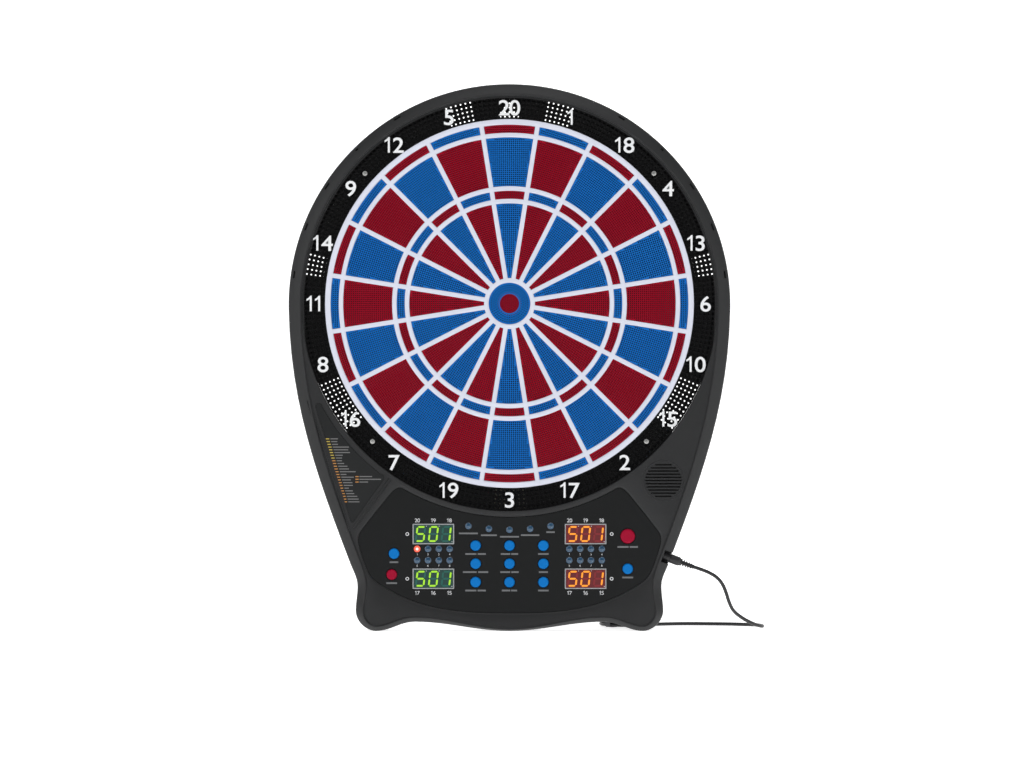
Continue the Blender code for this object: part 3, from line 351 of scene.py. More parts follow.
sheath = pvc("cord_sheath")
route = [Vector(point) for point in LEAD] + coil_points() + [Vector(point) for point in TAIL]
line = bpy.data.curves.new("mains_lead", "CURVE")
line.dimensions = "3D"
line.bevel_depth = CORD_R
line.bevel_resolution = 3
line.resolution_u = 4
line.use_fill_caps = True
spline = line.splines.new("BEZIER")
spline.bezier_points.add(len(route) - 1)
for knot, spot in zip(spline.bezier_points, route):
    knot.co = spot
    knot.handle_left_type = "AUTO"
    knot.handle_right_type = "AUTO"
mains_lead = placed("mains_lead", line, sheath, "housing",
                    ("supply_cord", "cord_coil", "cord_tail"))

# The adapter lies on the coil: two half shells with a seam round them, two round pins and a ribbed relief.
low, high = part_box("power_adapter")
shell_low = Vector((0.0890, 0.0480, low.z))
shell_high = Vector((high.x, high.y, high.z))
middle_y = (shell_low.y + shell_high.y) / 2
half_a = brick(shell_low, (shell_high.x, middle_y - 0.0002, shell_high.z), 0.0022, 3)
half_b = brick((shell_low.x, middle_y + 0.0002, shell_low.z), shell_high, 0.0022, 3)
core = brick(shell_low + Vector((0.0008, 0.004, 0.0008)), shell_high - Vector((0.0008, 0.004, 0.0008)))
relief = [(0, -0.002), (0.0036, -0.002), (0.0036, 0.0012)]
for rib in range(5):
    start, thick = 0.0016 + 0.0024 * rib, 0.0034 - 0.00026 * rib
    relief += [(thick * 0.8, start), (thick, start + 0.0006), (thick, start + 0.0016),
               (thick * 0.8, start + 0.0020)]
relief += [(CORD_R + 0.0003, 0.0138), (0, 0.0138)]
adapter_body = gathered(half_a, half_b, core, turned(relief, 24, (shell_low.x, 0.0615, 0.0220), (-1, 0, 0)))
adapter = made("adapter_body", adapter_body,
               moulded("adapter_abs", (0.010, 0.010, 0.011), 0.38, grain=0.0010, depth=0.00004),
               "housing", "adapter_plastic", ("power_adapter",), outwards=False)
pins = []
for side in (-1, 1):
    foot = (shell_high.x - 0.014, shell_low.y, (low.z + high.z) / 2 + side * 0.0093)
    pins.append(turned([(0, -0.002), (0.0020, -0.002), (0.0020, 0.0155), (0.0015, 0.0167), (0.0008, 0.0170),
                        (0, 0.0170)], 24, foot, (0, -1, 0)))
nickel = Paint("nickel_plate", Metallic=1.0)
nickel_grain = nickel.noise(0.0015, 4, 0.6, (1.0, 0.1, 1.0))
nickel = nickel.finish(Base_Color=nickel.mixed(nickel_grain, (0.52, 0.50, 0.47), (0.68, 0.66, 0.62)),
                       Roughness=0.22 + nickel_grain * 0.16)
adapter_pins = made("adapter_pins", gathered(*pins), nickel, "housing", "adapter_plastic", outwards=False)

# A soft plastic tie goes once round the coil and ends in a twist.
tie_spot = COIL_CENTRE + Vector((-0.0140, -0.0140, 0))
tie = brick((-0.0035, -0.0079, 0.0002), (0.0035, 0.0079, 0.0147))
caps = [face for face in tie.faces if abs(face.normal.x) > 0.9]
bmesh.ops.delete(tie, geom=caps, context="FACES_ONLY")
long_edges = [edge for edge in tie.edges if abs((edge.verts[0].co - edge.verts[1].co).normalized().x) > 0.9]
softened(tie, long_edges, 0.0030, 4)
bmesh.ops.recalc_face_normals(tie, faces=tie.faces)
bmesh.ops.solidify(tie, geom=tie.faces[:], thickness=0.0005)
tie.transform(Matrix.Translation(tie_spot) @ Matrix.Rotation(math.radians(-45), 4, "Z"))
twist = turned([(0, 0), (0.0012, 0), (0.0008, 0.002), (0.0013, 0.004), (0.0008, 0.006), (0.0013, 0.008),
                (0, 0.0085)], 12, tie_spot + Vector((-0.0052, -0.0052, 0.0100)), (-0.7, -0.6, 0.35))
coil_tie = made("coil_tie", gathered(tie, twist),
                moulded("tie_plastic", (0.05, 0.05, 0.055), 0.5, grain=0.0008), "housing", "cord_pvc")

# ------------------------------------------------------------------ jack and plug
# The socket stands at the bottom of a notch in the right flank. The moulded plug is pushed home
# in it, and its ribbed relief lets the lead leave at a downward slope.

JACK_FLANK = Vector((0.153321, -0.0035, 0.069))
OUT_OF_JACK = Vector((0.937333, 0, -0.348435))
NOTCH = 0.0080
socket_face = JACK_FLANK - OUT_OF_JACK * (NOTCH - 0.00015)
socket = turned([(0, -0.0120), (0.0046, -0.0120), (0.0046, -0.0003), (0.0043, 0), (0.0033, 0),
                 (0.00315, -0.0003), (0.00315, -0.0100), (0, -0.0100)], 40, socket_face, OUT_OF_JACK)
made("power_socket", socket, moulded("socket_nylon", (0.008, 0.008, 0.009), 0.35), "housing", "jack_plastic",
     ("dc_jack",), outwards=False)

plug_profile = [(0, -0.0095), (0.0024, -0.0095), (0.00275, -0.0091), (0.00275, 0), (0.0038, 0),
                (0.0043, 0.0006), (0.0043, 0.0060), (0.0040, 0.0064), (0.0040, 0.0072), (0.0043, 0.0076),
                (0.0043, 0.0155),
                (0.0040, 0.0170), (0.0031, 0.0180)]
for rib in range(5):
    start, thick = 0.0180 + 0.0025 * rib, 0.0034 - 0.00022 * rib
    plug_profile += [(thick, start + 0.0002), (thick, start + 0.0012), (0.0019, start + 0.0014),
                     (0.0019, start + 0.0023)]
plug_profile += [(0.0022, 0.0304), (0.0022, 0.0310), (0, 0.0310)]
plug = made("lead_plug", turned(plug_profile, 40, socket_face + OUT_OF_JACK * 0.00015, OUT_OF_JACK),
            pvc("plug_pvc"), "housing", "cord_pvc", ("dc_plug",), outwards=False)

# ------------------------------------------------------------------ front bezel
# Grained ABS moulding. A border slopes up to a crest round the head, the flat face carries the
# openings, and two lugs of the back shell clip in the small slots of the border.

BULL_Z = 0.3116
CREST, FACE, SEAM, BACK = -0.0150, -0.0138, 0.0050, 0.0150
WALL = 0.0022
RING_R = 0.1970
LIP_R = 0.1974
PANEL_TOP_R = 0.2031
BULL = Vector((0, 0, BULL_Z))
SLOT_ANGLES = (31.0, 44.8, 57.4, 69.6, 82.7, 97.3)
SPEAKER = Vector((0.14618, 0.14344))
SPEAKER_R = 0.0175


def polar(radius, degrees):
    """A point (x, z) about the bull, clockwise from the top."""
    angle = math.radians(degrees)
    return Vector((radius * math.sin(angle), BULL_Z + radius * math.cos(angle)))


def arc(radius, start, end, steps):
    return [polar(radius, start + (end - start) * i / steps) for i in range(steps + 1)]


def circle(x, z, radius, steps):
    turn = [2 * math.pi * i / steps for i in range(steps)]
    return [Vector((x + radius * math.sin(a), z + radius * math.cos(a))) for a in turn]


def oblong(x, z, width, height, corner=0.0, steps=4):
    """A rectangle with rounded corners."""
    dx, dz = width / 2 - corner, height / 2 - corner
    if not corner:
        return [Vector((x + a * dx, z + b * dz)) for a, b in ((-1, -1), (-1, 1), (1, 1), (1, -1))]
    loop = []
    for a, b, start in ((-1, -1, 180), (-1, 1, 270), (1, 1, 0), (1, -1, 90)):
        for i in range(steps + 1):
            angle = math.radians(start + 90 * i / steps)
            loop.append(Vector((x + a * dx + corner * math.sin(angle),
                                z + b * dz + corner * math.cos(angle))))
    return loop


def flowing(knots, steps):
    """A smooth line through knots of (position, heading in degrees). Extra coordinates ride along."""
    line = []
    for (start, leaving), (end, arriving) in zip(knots, knots[1:]):
        start, end = Vector(start), Vector(end)
        pull = 0.36 * (end.to_2d() - start.to_2d()).length
        first = start + Vector((math.cos(math.radians(leaving)), math.sin(math.radians(leaving)), 0)) * pull
        second = end - Vector((math.cos(math.radians(arriving)), math.sin(math.radians(arriving)), 0)) * pull
        line += interpolate_bezier(start, first, second, end, steps + 1)[:-1]
    line.append(Vector(knots[-1][0]))
    return line


def mirrored(half):
    return half + [Vector((-p[0], *p[1:])) for p in reversed(half[1:-1])]


def inset(loop, distances):
    """Moves each point of a clockwise loop inwards by its own distance."""
    moved = []
    for i, point in enumerate(loop):
        along = (loop[(i + 1) % len(loop)].to_2d() - loop[i - 1].to_2d()).normalized()
        moved.append(point.to_2d() + Vector((along.y, -along.x)) * distances[i])
    return moved


def head_point(degrees):
    angle = math.radians(degrees)
    x = 0.2103 * math.sin(angle)
    z = BULL_Z - 0.0013 + 0.2103 * math.cos(angle)
    return Vector((x, z, math.hypot(x, z - BULL_Z) - RING_R - 0.0021))


def body_outline():
    """The whole silhouette, clockwise from the top, as (x, z, width of the sloped border)."""
    head = [head_point(degrees) for degrees in range(91)]
    half = head + flowing((
        (head_point(91), -91), ((0.1515, 0.0641, 0.0095), -111), ((0.1447, 0.0425, 0.0080), -90),
        ((0.1464, 0.0195, 0.0070), -90), ((0.1270, 0, 0.0045), 180), ((0.090, 0.0088, 0.0045), 180),
        ((0, 0, 0.0020), 180)), 12)
    for point in half:
        point.y = max(point.y, 0)
    return mirrored(half)


def panel_outline(margin, steps=9):
    top = arc(PANEL_TOP_R, 180, 150, 30)
    half = top[:-1] + [p.to_2d() for p in flowing((
        ((*top[-1], 0), 30), ((0.1145, 0.1288, 0), -51), ((0.1412, 0.0950, 0), -53),
        ((0.1425, 0.0800, 0), -106), ((0.1340, 0.0560, 0), -117), ((0.1171, 0.0412, 0), -149),
        ((0, 0.0176, 0), 180)), steps)]
    loop = mirrored(half)
    return inset(loop, [margin] * len(loop))


def rounded(corners, radius, steps):
    """The same outline with each corner rounded off, less where the sides are short."""
    loop = []
    for i, corner in enumerate(corners):
        before = corners[i - 1] - corner
        after = corners[(i + 1) % len(corners)] - corner
        before *= min(radius / before.length, 0.4)
        after *= min(radius / after.length, 0.4)
        loop += [corner + before * (1 - k / steps) ** 2 + after * (k / steps) ** 2 for k in range(steps + 1)]
    return loop


LIST_START, LIST_END = -117.6, -144.4
LIST_CORNERS = [polar(PANEL_TOP_R, LIST_START), polar(PANEL_TOP_R, LIST_END), Vector((-0.14957, 0.10268)),
                Vector((-0.18439, 0.21520))]


def list_outline(margin):
    """Outline of the game list plate: its right side follows the ring."""
    steps = 6
    loop = rounded(LIST_CORNERS, 0.0035, steps)
    loop[steps + 1:steps + 1] = arc(PANEL_TOP_R, LIST_START, LIST_END, 24)[1:-1]
    return inset(loop, [margin] * len(loop))


BODY = body_outline()
SILHOUETTE = [point.to_2d() for point in BODY]


def body_ring(share, extra):
    """The silhouette drawn in by a share of its border and a plain distance."""
    return inset(SILHOUETTE, [share * point.z + extra for point in BODY])


def start_loop(bm, loop, y):
    """A closed loop of edges at a depth, its vertices numbered."""
    number = bm.verts.layers.int.get("number") or bm.verts.layers.int.new("number")
    verts = []
    for i, spot in enumerate(loop):
        vert = bm.verts.new((spot[0], y, spot[1]))
        vert[number] = i
        verts.append(vert)
    return [bm.edges.new((verts[i - 1], verts[i])) for i in range(len(verts))]


def run_on(bm, edges, loop, y):
    """Extrudes a loop of edges and moves each new vertex to its own spot of the next loop."""
    number = bm.verts.layers.int["number"]
    made = bmesh.ops.extrude_edge_only(bm, edges=edges)["geom"]
    fresh = {part for part in made if isinstance(part, bmesh.types.BMVert)}
    for vert in fresh:
        spot = loop[vert[number]]
        vert.co = (spot[0], y, spot[1])
    return list({edge for vert in fresh for edge in vert.link_edges if edge.other_vert(vert) in fresh})


def swept(bm, steps):
    """A wall through several (loop, depth) pairs. Gives its first and its last edges."""
    first = last = start_loop(bm, *steps[0])
    for loop, y in steps[1:]:
        last = run_on(bm, last, loop, y)
    return first, last


def filled(bm, edges, facing):
    bmesh.ops.triangle_fill(bm, use_beauty=True, use_dissolve=False, edges=edges, normal=(0, facing, 0))


def combined(base, other, operation):
    """The union or difference of two closed bmeshes."""
    made = []
    for bm in (base, other):
        bmesh.ops.remove_doubles(bm, verts=bm.verts, dist=1e-6)
        bmesh.ops.triangulate(bm, faces=bm.faces)
        bmesh.ops.recalc_face_normals(bm, faces=bm.faces)
        mesh = bpy.data.meshes.new("part")
        bm.to_mesh(mesh)
        bm.free()
        holder = bpy.data.objects.new("part", mesh)
        bpy.context.scene.collection.objects.link(holder)
        made.append(holder)
    step = made[0].modifiers.new("join", "BOOLEAN")
    step.operation = operation
    step.solver = "EXACT"
    step.object = made[1]
    bpy.context.view_layer.update()
    result = bmesh.new()
    result.from_object(made[0], bpy.context.evaluated_depsgraph_get())
    for holder in made:
        mesh = holder.data
        bpy.data.objects.remove(holder)
        bpy.data.meshes.remove(mesh)
    return result


def jack_prism(near, far, half_width, back, lift):
    """A block across the right flank that follows the border's slope, from near to far inside it."""
    side = Vector((OUT_OF_JACK.z, 0, -OUT_OF_JACK.x))
    corners = []
    for inside in (near, far):
        front = CREST + 0.0065 - 0.0065 / 0.0096 * max(inside, 0) + lift
        corners.append((inside, ((front, back), (back, front))[inside == far]))
    ring = [JACK_FLANK - OUT_OF_JACK * inside + Vector((0, y + 0.0035, 0))
            for inside, pair in corners for y in pair]
    bm = bmesh.new()
    first = bm.faces.new([bm.verts.new(spot - side * half_width) for spot in ring])
    last = bmesh.ops.extrude_face_region(bm, geom=[first])["geom"]
    bmesh.ops.translate(bm, verts=[part for part in last if isinstance(part, bmesh.types.BMVert)],
                        vec=side * 2 * half_width)
    return bm


def front_bezel():
    bm = bmesh.new()
    first, crest = swept(bm, [(body_ring(share, extra), y) for share, extra, y in (
        (0, 0, SEAM), (0, 0, CREST + 0.0080), (0, 0.0003, CREST + 0.0070), (0.08, 0, CREST + 0.0059),
        (0.24, 0, CREST + 0.00475), (0.42, 0, CREST + 0.0035), (0.90, 0, CREST + 0.00035), (1, 0, CREST),
        (1, 0.0005, CREST + 0.0001), (1, 0.0015, FACE))])
    slots = []
    for face in bm.faces:
        spot = face.calc_center_median() - BULL
        turn = abs(math.degrees(math.atan2(spot.x, spot.z)))
        if -0.0111 < spot.y < -0.0107 and any(abs(turn - angle) < 0.9 for angle in SLOT_ANGLES):
            slots.append(face)
    _, inside = swept(bm, [(body_ring(share, extra), y) for share, extra, y in (
        (0, 0, SEAM), (0, WALL, SEAM), (0, WALL, CREST + 0.0085), (1, WALL + 0.0015, FACE + WALL))])
    front_edges, back_edges = [crest], [inside]
    lip = circle(0, BULL_Z, LIP_R, 180)
    rim = circle(0, BULL_Z, LIP_R + 0.0016, 180)
    start, end = swept(bm, [(lip, FACE + 0.0003), (lip, -0.0050), (rim, -0.0050), (rim, FACE + WALL)])
    chamfer = circle(0, BULL_Z, LIP_R + 0.0003, 180)
    front_edges.append(run_on(bm, start, chamfer, FACE))
    back_edges.append(end)
    start, end = swept(bm, [(panel_outline(-0.0024), FACE), (panel_outline(-0.0018), FACE + 0.0002),
                            (panel_outline(-0.0004), FACE + 0.0011), (panel_outline(-0.0004), FACE + WALL)])
    front_edges.append(start)
    back_edges.append(end)
    start, end = swept(bm, [(list_outline(-0.0006), FACE), (list_outline(-0.0004), FACE + 0.0002),
                            (list_outline(-0.0004), FACE + 0.0010)])
    front_edges.append(start)
    filled(bm, end, -1)
    for i in range(11):
        rise = (i - 5) * 0.0030
        half = math.sqrt(SPEAKER_R ** 2 - (abs(rise) + 0.00065) ** 2)
        slot = oblong(SPEAKER.x, SPEAKER.y + rise, 2 * half, 0.0015, 0.0005, 3)
        start, end = swept(bm, [(slot, FACE), (slot, FACE + WALL)])
        front_edges.append(start)
        back_edges.append(end)
    filled(bm, sum(front_edges, []), -1)
    filled(bm, sum(back_edges, []), 1)
    bmesh.ops.recalc_face_normals(bm, faces=bm.faces)
    slots = [face for face in slots if face.is_valid]
    bmesh.ops.inset_region(bm, faces=slots, thickness=0.0001, depth=0)
    bmesh.ops.inset_region(bm, faces=slots, thickness=0.0002, depth=-0.0016)
    half, wall, depth = 0.0060, 0.0018, JACK_FLANK.y
    pocket = jack_prism(0.0010, NOTCH + wall, half + wall, depth + half + wall, 0.0010)
    bm = combined(bm, pocket, "UNION")
    bm = combined(bm, jack_prism(-0.003, NOTCH, half, depth + half, -0.030), "DIFFERENCE")
    bore = turned([(0, -0.003), (0.0050, -0.003), (0.0050, 0.003), (0, 0.003)], 40,
                  JACK_FLANK - OUT_OF_JACK * (NOTCH + 0.0009), OUT_OF_JACK)
    return combined(bm, bore, "DIFFERENCE")


def cut_out(loops, front, back, edge=0.0):
    """A sheet with the first loop as its outline and the others as holes, its edges rounded over."""
    curve = bpy.data.curves.new("outline", "CURVE")
    curve.dimensions = "2D"
    curve.fill_mode = "BOTH"
    curve.extrude = (back - front) / 2 - edge
    curve.bevel_depth = edge
    curve.bevel_resolution = 1
    curve.offset = -edge
    for loop in loops:
        spline = curve.splines.new("POLY")
        spline.points.add(len(loop) - 1)
        spline.use_cyclic_u = True
        for point, spot in zip(spline.points, loop):
            point.co = (spot[0], spot[1], 0, 1)
    holder = bpy.data.objects.new("outline", curve)
    mesh = bpy.data.meshes.new_from_object(holder)
    bm = bmesh.new()
    bm.from_mesh(mesh)
    bm.transform(Matrix.Translation((0, (front + back) / 2, 0)) @ Matrix.Rotation(math.pi / 2, 4, "X"))
    bpy.data.objects.remove(holder)
    bpy.data.curves.remove(curve)
    bpy.data.meshes.remove(mesh)
    return bm


abs_charcoal = moulded("charcoal_abs", (0.0095, 0.0099, 0.0106), 0.50, grain=0.0008, depth=0.00005,
                       mottle=0.10, scuff=0.08, Specular_IOR_Level=0.42)
made("bezel_shell", front_bezel(), abs_charcoal, "housing", "charcoal_plastic", ("front_bezel",), sharp=24)


def stroke(points, width):
    """A narrow closed outline along a line of points."""
    sides = []
    for i, point in enumerate(points):
        along = (points[min(i + 1, len(points) - 1)] - points[max(i - 1, 0)]).normalized()
        sides.append(Vector((along.y, -along.x)) * width / 2)
    return [p + s for p, s in zip(points, sides)] + [p - s for p, s in reversed(list(zip(points, sides)))]


def ridge(points, out):
    """A raised line beside a line of points."""
    aside = (points[-1] - points[0]).normalized()
    line = [point + Vector((aside.y, -aside.x)) * out for point in points]
    return cut_out([stroke(line, 0.0010)], FACE - 0.0008, FACE + 0.0004, 0.0003)


outer_side = [LIST_CORNERS[3].lerp(LIST_CORNERS[2], share) for share in (-0.05, 0.25, 0.5, 0.75, 1.05)]
# Two lines outside the list plate, two on the way down to the panel, and the grille's rim.
lower_side = [LIST_CORNERS[1].lerp(LIST_CORNERS[2], share) for share in (-0.02, 1.04)]
ridges = [ridge(outer_side, out) for out in (0.0042, 0.0066)]
ridges += [ridge(lower_side, -out) for out in (0.0035, 0.0062)]
rim_profile = [(0.0009, 0.0003), (0.0012, 0), (0.0018, 0), (0.0021, 0.0003), (0.0021, 0.0006),
               (0.0009, 0.0006)]
ridges.append(turned([(SPEAKER_R + out, deep) for out, deep in rim_profile], 72,
                     (SPEAKER.x, FACE - 0.0003, SPEAKER.y)))
made("bezel_ridges", gathered(*ridges), abs_charcoal, "housing", "charcoal_plastic")

# ------------------------------------------------------------------ rear cover
# Black ABS tray screwed on from behind: two keyholes low down and one at the top to hang it by,
# windows behind the number ring, eight sunk screws and a ribbed field.

abs_black = moulded("black_abs", (0.0105, 0.0105, 0.0115), 0.50, grain=0.0011, depth=0.00006, mottle=0.2,
                    scuff=0.12)
KEYHOLES = ((0, 0.4931, 0.0090), (-0.110, 0.130, 0.0055), (0.110, 0.130, 0.0055))
WINDOWS = ((14.5, 7.3, 0.1762, 0.1986), (78.6, 6.2, 0.1800, 0.1986), (120.3, 16.0, 0.1762, 0.1986))
COVER_SCREWS = [polar(0.1990, angle) for angle in (28, 62, 98, -28, -62, -98)] + [
    Vector((0.128, 0.030)), Vector((-0.128, 0.030)), Vector((0, 0.040))]


def keyhole(x, z, radius, grow=0.0):
    """A round entry with a narrower slot above it."""
    half, rise = 0.0026 + grow, 0.0120
    radius += grow
    entry = math.degrees(math.asin(half / radius))
    loop = []
    for i in range(33):
        angle = math.radians(entry + (360 - 2 * entry) * i / 32)
        loop.append(Vector((x + radius * math.sin(angle), z + radius * math.cos(angle))))
    for i in range(13):
        angle = math.radians(-90 + 180 * i / 12)
        loop.append(Vector((x + half * math.sin(angle), z + rise + half * math.cos(angle))))
    return loop


def rear_cover():
    bm = bmesh.new()
    _, outside = swept(bm, [(body_ring(0, extra), y) for extra, y in (
        (0, SEAM + 0.0003), (0, BACK - 0.0016), (0.0004, BACK - 0.0006), (0.0015, BACK))])
    _, inside = swept(bm, [(body_ring(0, extra), y) for extra, y in (
        (0, SEAM + 0.0003), (WALL, SEAM + 0.0003), (WALL, BACK - WALL))])
    back_edges, inner_edges = [outside], [inside]
    holes = [keyhole(*place) for place in KEYHOLES]
    for side in (-1, 1):
        for angle, span, low_r, high_r in WINDOWS:
            start, end = side * angle - span / 2, side * angle + span / 2
            holes.append(arc(high_r, start, end, 12) + arc(low_r, end, start, 12))
    for hole in holes:
        start, end = swept(bm, [(hole, BACK), (hole, BACK - WALL)])
        back_edges.append(start)
        inner_edges.append(end)
    for spot in COVER_SCREWS:
        rim, floor = circle(*spot, 0.0042, 24), circle(*spot, 0.0040, 24)
        start, end = swept(bm, [(rim, BACK), (floor, BACK - 0.0014)])
        back_edges.append(start)
        filled(bm, end, 1)
    label = oblong(0, 0.215, 0.090, 0.050, 0.004)
    start, end = swept(bm, [(label, BACK), (label, BACK - 0.0004)])
    back_edges.append(start)
    filled(bm, end, 1)
    filled(bm, sum(back_edges, []), 1)
    filled(bm, sum(inner_edges, []), -1)
    return bm


cover_parts = [rear_cover()]
wall_profile = [(0.110, 0), (0.110, 0.0102), (0.1078, 0.0102), (0.1078, 0)]
cover_parts.append(turned(wall_profile, 96, (0, 0.0033, BULL_Z)))
rib_profile = [(-0.0008, 0.0003), (-0.0005, 0), (0.0005, 0), (0.0008, 0.0003), (0.0008, 0.0010),
               (-0.0008, 0.0010)]
for radius in (0.060, 0.085, 0.135, 0.160):
    cover_parts.append(turned([(radius + out, deep) for out, deep in rib_profile], 120,
                              (0, BACK + 0.0004, BULL_Z), (0, -1, 0)))
# Each lower keyhole has a raised border outside and a closed pocket inside.
for place in KEYHOLES[1:]:
    outline = keyhole(*place, 0.0022)
    cover_parts.append(cut_out([outline, keyhole(*place, 0.0004)], BACK - 0.0004, BACK + 0.0004))
    cover_parts.append(cut_out([outline, keyhole(*place, 0.0008)], 0.0062, BACK - WALL))
    cover_parts.append(cut_out([outline], 0.0050, 0.0062))
made("rear_tray", gathered(*cover_parts), abs_black, "housing", "black_plastic", ("rear_cover",))


def screw_head(spot, y, facing, radius):
    """A low dome with a cross recess, facing +Y or -Y."""
    head = turned([(0, 0), (radius * 0.55, 0.0001), (radius * 0.9, 0.0004), (radius, 0.0008),
                   (radius, 0.0011), (0, 0.0011)], 24, (spot[0], y, spot[1]), (0, -facing, 0))
    bar, deep = radius * 0.16, 0.0007
    for wide, tall in ((radius * 0.62, bar), (bar, radius * 0.62)):
        low = Vector((spot[0] - wide, min(y, y - facing * deep) - 0.0001, spot[1] - tall))
        high = Vector((spot[0] + wide, max(y, y - facing * deep) + 0.0001, spot[1] + tall))
        head = combined(head, brick(low, high), "DIFFERENCE")
    return head


zinc = Paint("zinc_plate", Metallic=1.0)
zinc_grain = zinc.noise(0.0009, 4, 0.7)
zinc = zinc.finish(Base_Color=zinc.mixed(zinc_grain, (0.34, 0.34, 0.33), (0.62, 0.62, 0.60)),
                   Roughness=0.28 + zinc_grain * 0.25, Normal=zinc.bumped(zinc_grain, 0.00003))
cover_screws = gathered(*[screw_head(spot, BACK - 0.0003, 1, 0.0034) for spot in COVER_SCREWS])
made("cover_screws", cover_screws, zinc, "housing", "black_plastic", sharp=30)

# ------------------------------------------------------------------ number ring
# Black moulded ring of small funnel-shaped cells, each with a hole for a tip, so that a near miss
# sticks. White numerals are fixed on it, and four screws hold it down.

RING_Y = -0.0112
RING_IN, RING_OUT = 0.1758, 0.1968
CELLS, ROWS_OF_CELLS = 260, 5
BED_NUMBERS = (20, 1, 18, 4, 13, 6, 10, 15, 2, 17, 3, 19, 7, 16, 8, 11, 14, 9, 12, 5)


def number_ring():
    bm = bmesh.new()
    half, pitch = 180 / CELLS, (RING_OUT - RING_IN) / ROWS_OF_CELLS
    for row in range(ROWS_OF_CELLS):
        low = RING_IN + row * pitch
        middle, high = low + pitch / 2, low + pitch
        frame_loop = [polar(r, a) for r, a in ((high, -half), (high, 0), (high, half), (middle, half),
                                               (low, half), (low, 0), (low, -half), (middle, -half))]
        turn = [math.radians(-45 + 45 * i) for i in range(8)]
        centre = polar(middle, 0)
        land = [centre + Vector((math.sin(a), math.cos(a))) * 0.00150 for a in turn]
        hole = [centre + Vector((math.sin(a), math.cos(a))) * 0.00084 for a in turn]
        swept(bm, [(frame_loop, RING_Y + 0.0025), (frame_loop, RING_Y), (land, RING_Y + 0.0014),
                   (hole, RING_Y + 0.0018), (hole, RING_Y + 0.0025), (frame_loop, RING_Y + 0.0025)])
    walls = [face for face in bm.faces if max(v.co.y for v in face.verts) > RING_Y + 0.002
             and min(v.co.y for v in face.verts) < RING_Y + 1e-6]
    bmesh.ops.delete(bm, geom=walls, context="FACES_ONLY")
    column = bm.verts[:] + bm.edges[:] + bm.faces[:]
    bmesh.ops.spin(bm, geom=column, cent=BULL, axis=(0, 1, 0), dvec=(0, 0, 0),
                   angle=2 * math.pi * (CELLS - 1) / CELLS, steps=CELLS - 1, use_duplicate=True)
    for radius, out in ((RING_IN, -0.0002), (RING_OUT, 0.0002)):
        skirt = turned([(radius + out, 0), (radius + out, 0.0077), (radius - out * 3, 0.0077),
                        (radius - out * 3, 0.0025), (radius, 0.0024), (radius, 0.0001)], CELLS,
                       (0, RING_Y, BULL_Z))
        bm = gathered(bm, skirt)
    return bm


ring_black = moulded("ring_black", (0.0035, 0.0035, 0.0038), 0.46, grain=0.0009, depth=0.00002, mottle=0.2,
                     Specular_IOR_Level=0.22)
made("number_ring", number_ring(), ring_black, "housing", "black_plastic", ("catch_ring",), sharp=20)


def lettering(text, height, spot, y, thick=0.0004, bold=0.0):
    """Raised figures, centred on a spot, facing the player. Each 1 has its flag."""
    one = ((0.21, 0), (0.34, 0), (0.34, 1), (0.245, 1), (0.14, 0.875), (0, 0.785), (0, 0.665), (0.11, 0.715),
           (0.21, 0.785))
    figures = []
    width = 0
    for figure in text:
        if figure == "1":
            shape = cut_out([[Vector((x * height, z * height)) for x, z in one]], 0, thick)
            advance = 0.54 * height
        else:
            words = bpy.data.curves.new("figure", "FONT")
            words.body = figure
            words.size = height / 0.72
            words.extrude = thick / 2
            words.offset = bold
            words.resolution_u = 6
            holder = bpy.data.objects.new("figure", words)
            mesh = bpy.data.meshes.new_from_object(holder)
            shape = bmesh.new()
            shape.from_mesh(mesh)
            shape.transform(Matrix.Translation((0, thick / 2, 0)) @ Matrix.Rotation(math.pi / 2, 4, "X")
                            @ Matrix.Diagonal((1.10, 1, 1, 1)))
            bpy.data.objects.remove(holder)
            bpy.data.curves.remove(words)
            bpy.data.meshes.remove(mesh)
            advance = 0.68 * height
        shape.transform(Matrix.Translation((width - min(v.co.x for v in shape.verts), 0, 0)))
        width += advance
        figures.append(shape)
    whole = gathered(*figures)
    width = max(v.co.x for v in whole.verts)
    whole.transform(Matrix.Translation((spot[0] - width / 2, y, spot[1] - height / 2)))
    return whole


numeral_white = moulded("numeral_white", (0.80, 0.81, 0.82), 0.45, grain=0.0006, mottle=0.04)
numerals = [lettering(str(number), 0.0148, polar(0.1864, i * 18), RING_Y - 0.0007, 0.0009, 0.00022)
            for i, number in enumerate(BED_NUMBERS)]
made("ring_numerals", gathered(*numerals), numeral_white, "housing", "white_plastic")
ring_screws = gathered(*[screw_head(polar(0.1848, side * angle), RING_Y - 0.0007, -1, 0.0024)
                         for side in (1, -1) for angle in (48.0, 135.2)])
made("ring_screws", ring_screws, zinc, "housing", "black_plastic", sharp=30)

# ------------------------------------------------------------------ spider
# One white nylon moulding, with rounded bars between all the beds. It stays still when they move.

SPIDER_R = 0.1753
BAR = 0.0043
BEDS = ((0.0242, 0.0952, 3, 9), (0.0996, 0.1072, 9, 10), (0.1116, 0.1580, 10, 14), (0.1623, 0.1700, 14, 14))


def wedge(r_in, r_out, side, steps_in, steps_out, degrees=0.0, centre_z=BULL_Z):
    """A bed's outline at a clock angle: two arcs, and sides drawn in from the sector's limits."""
    loop = []
    for radius, steps, way in ((r_in, steps_in, 1), (r_out, steps_out, -1)):
        half = math.radians(9) - math.asin(side / radius)
        for i in range(steps + 1):
            angle = way * half * (2 * i / steps - 1) + math.radians(degrees)
            loop.append(Vector((radius * math.sin(angle), centre_z + radius * math.cos(angle))))
    return loop


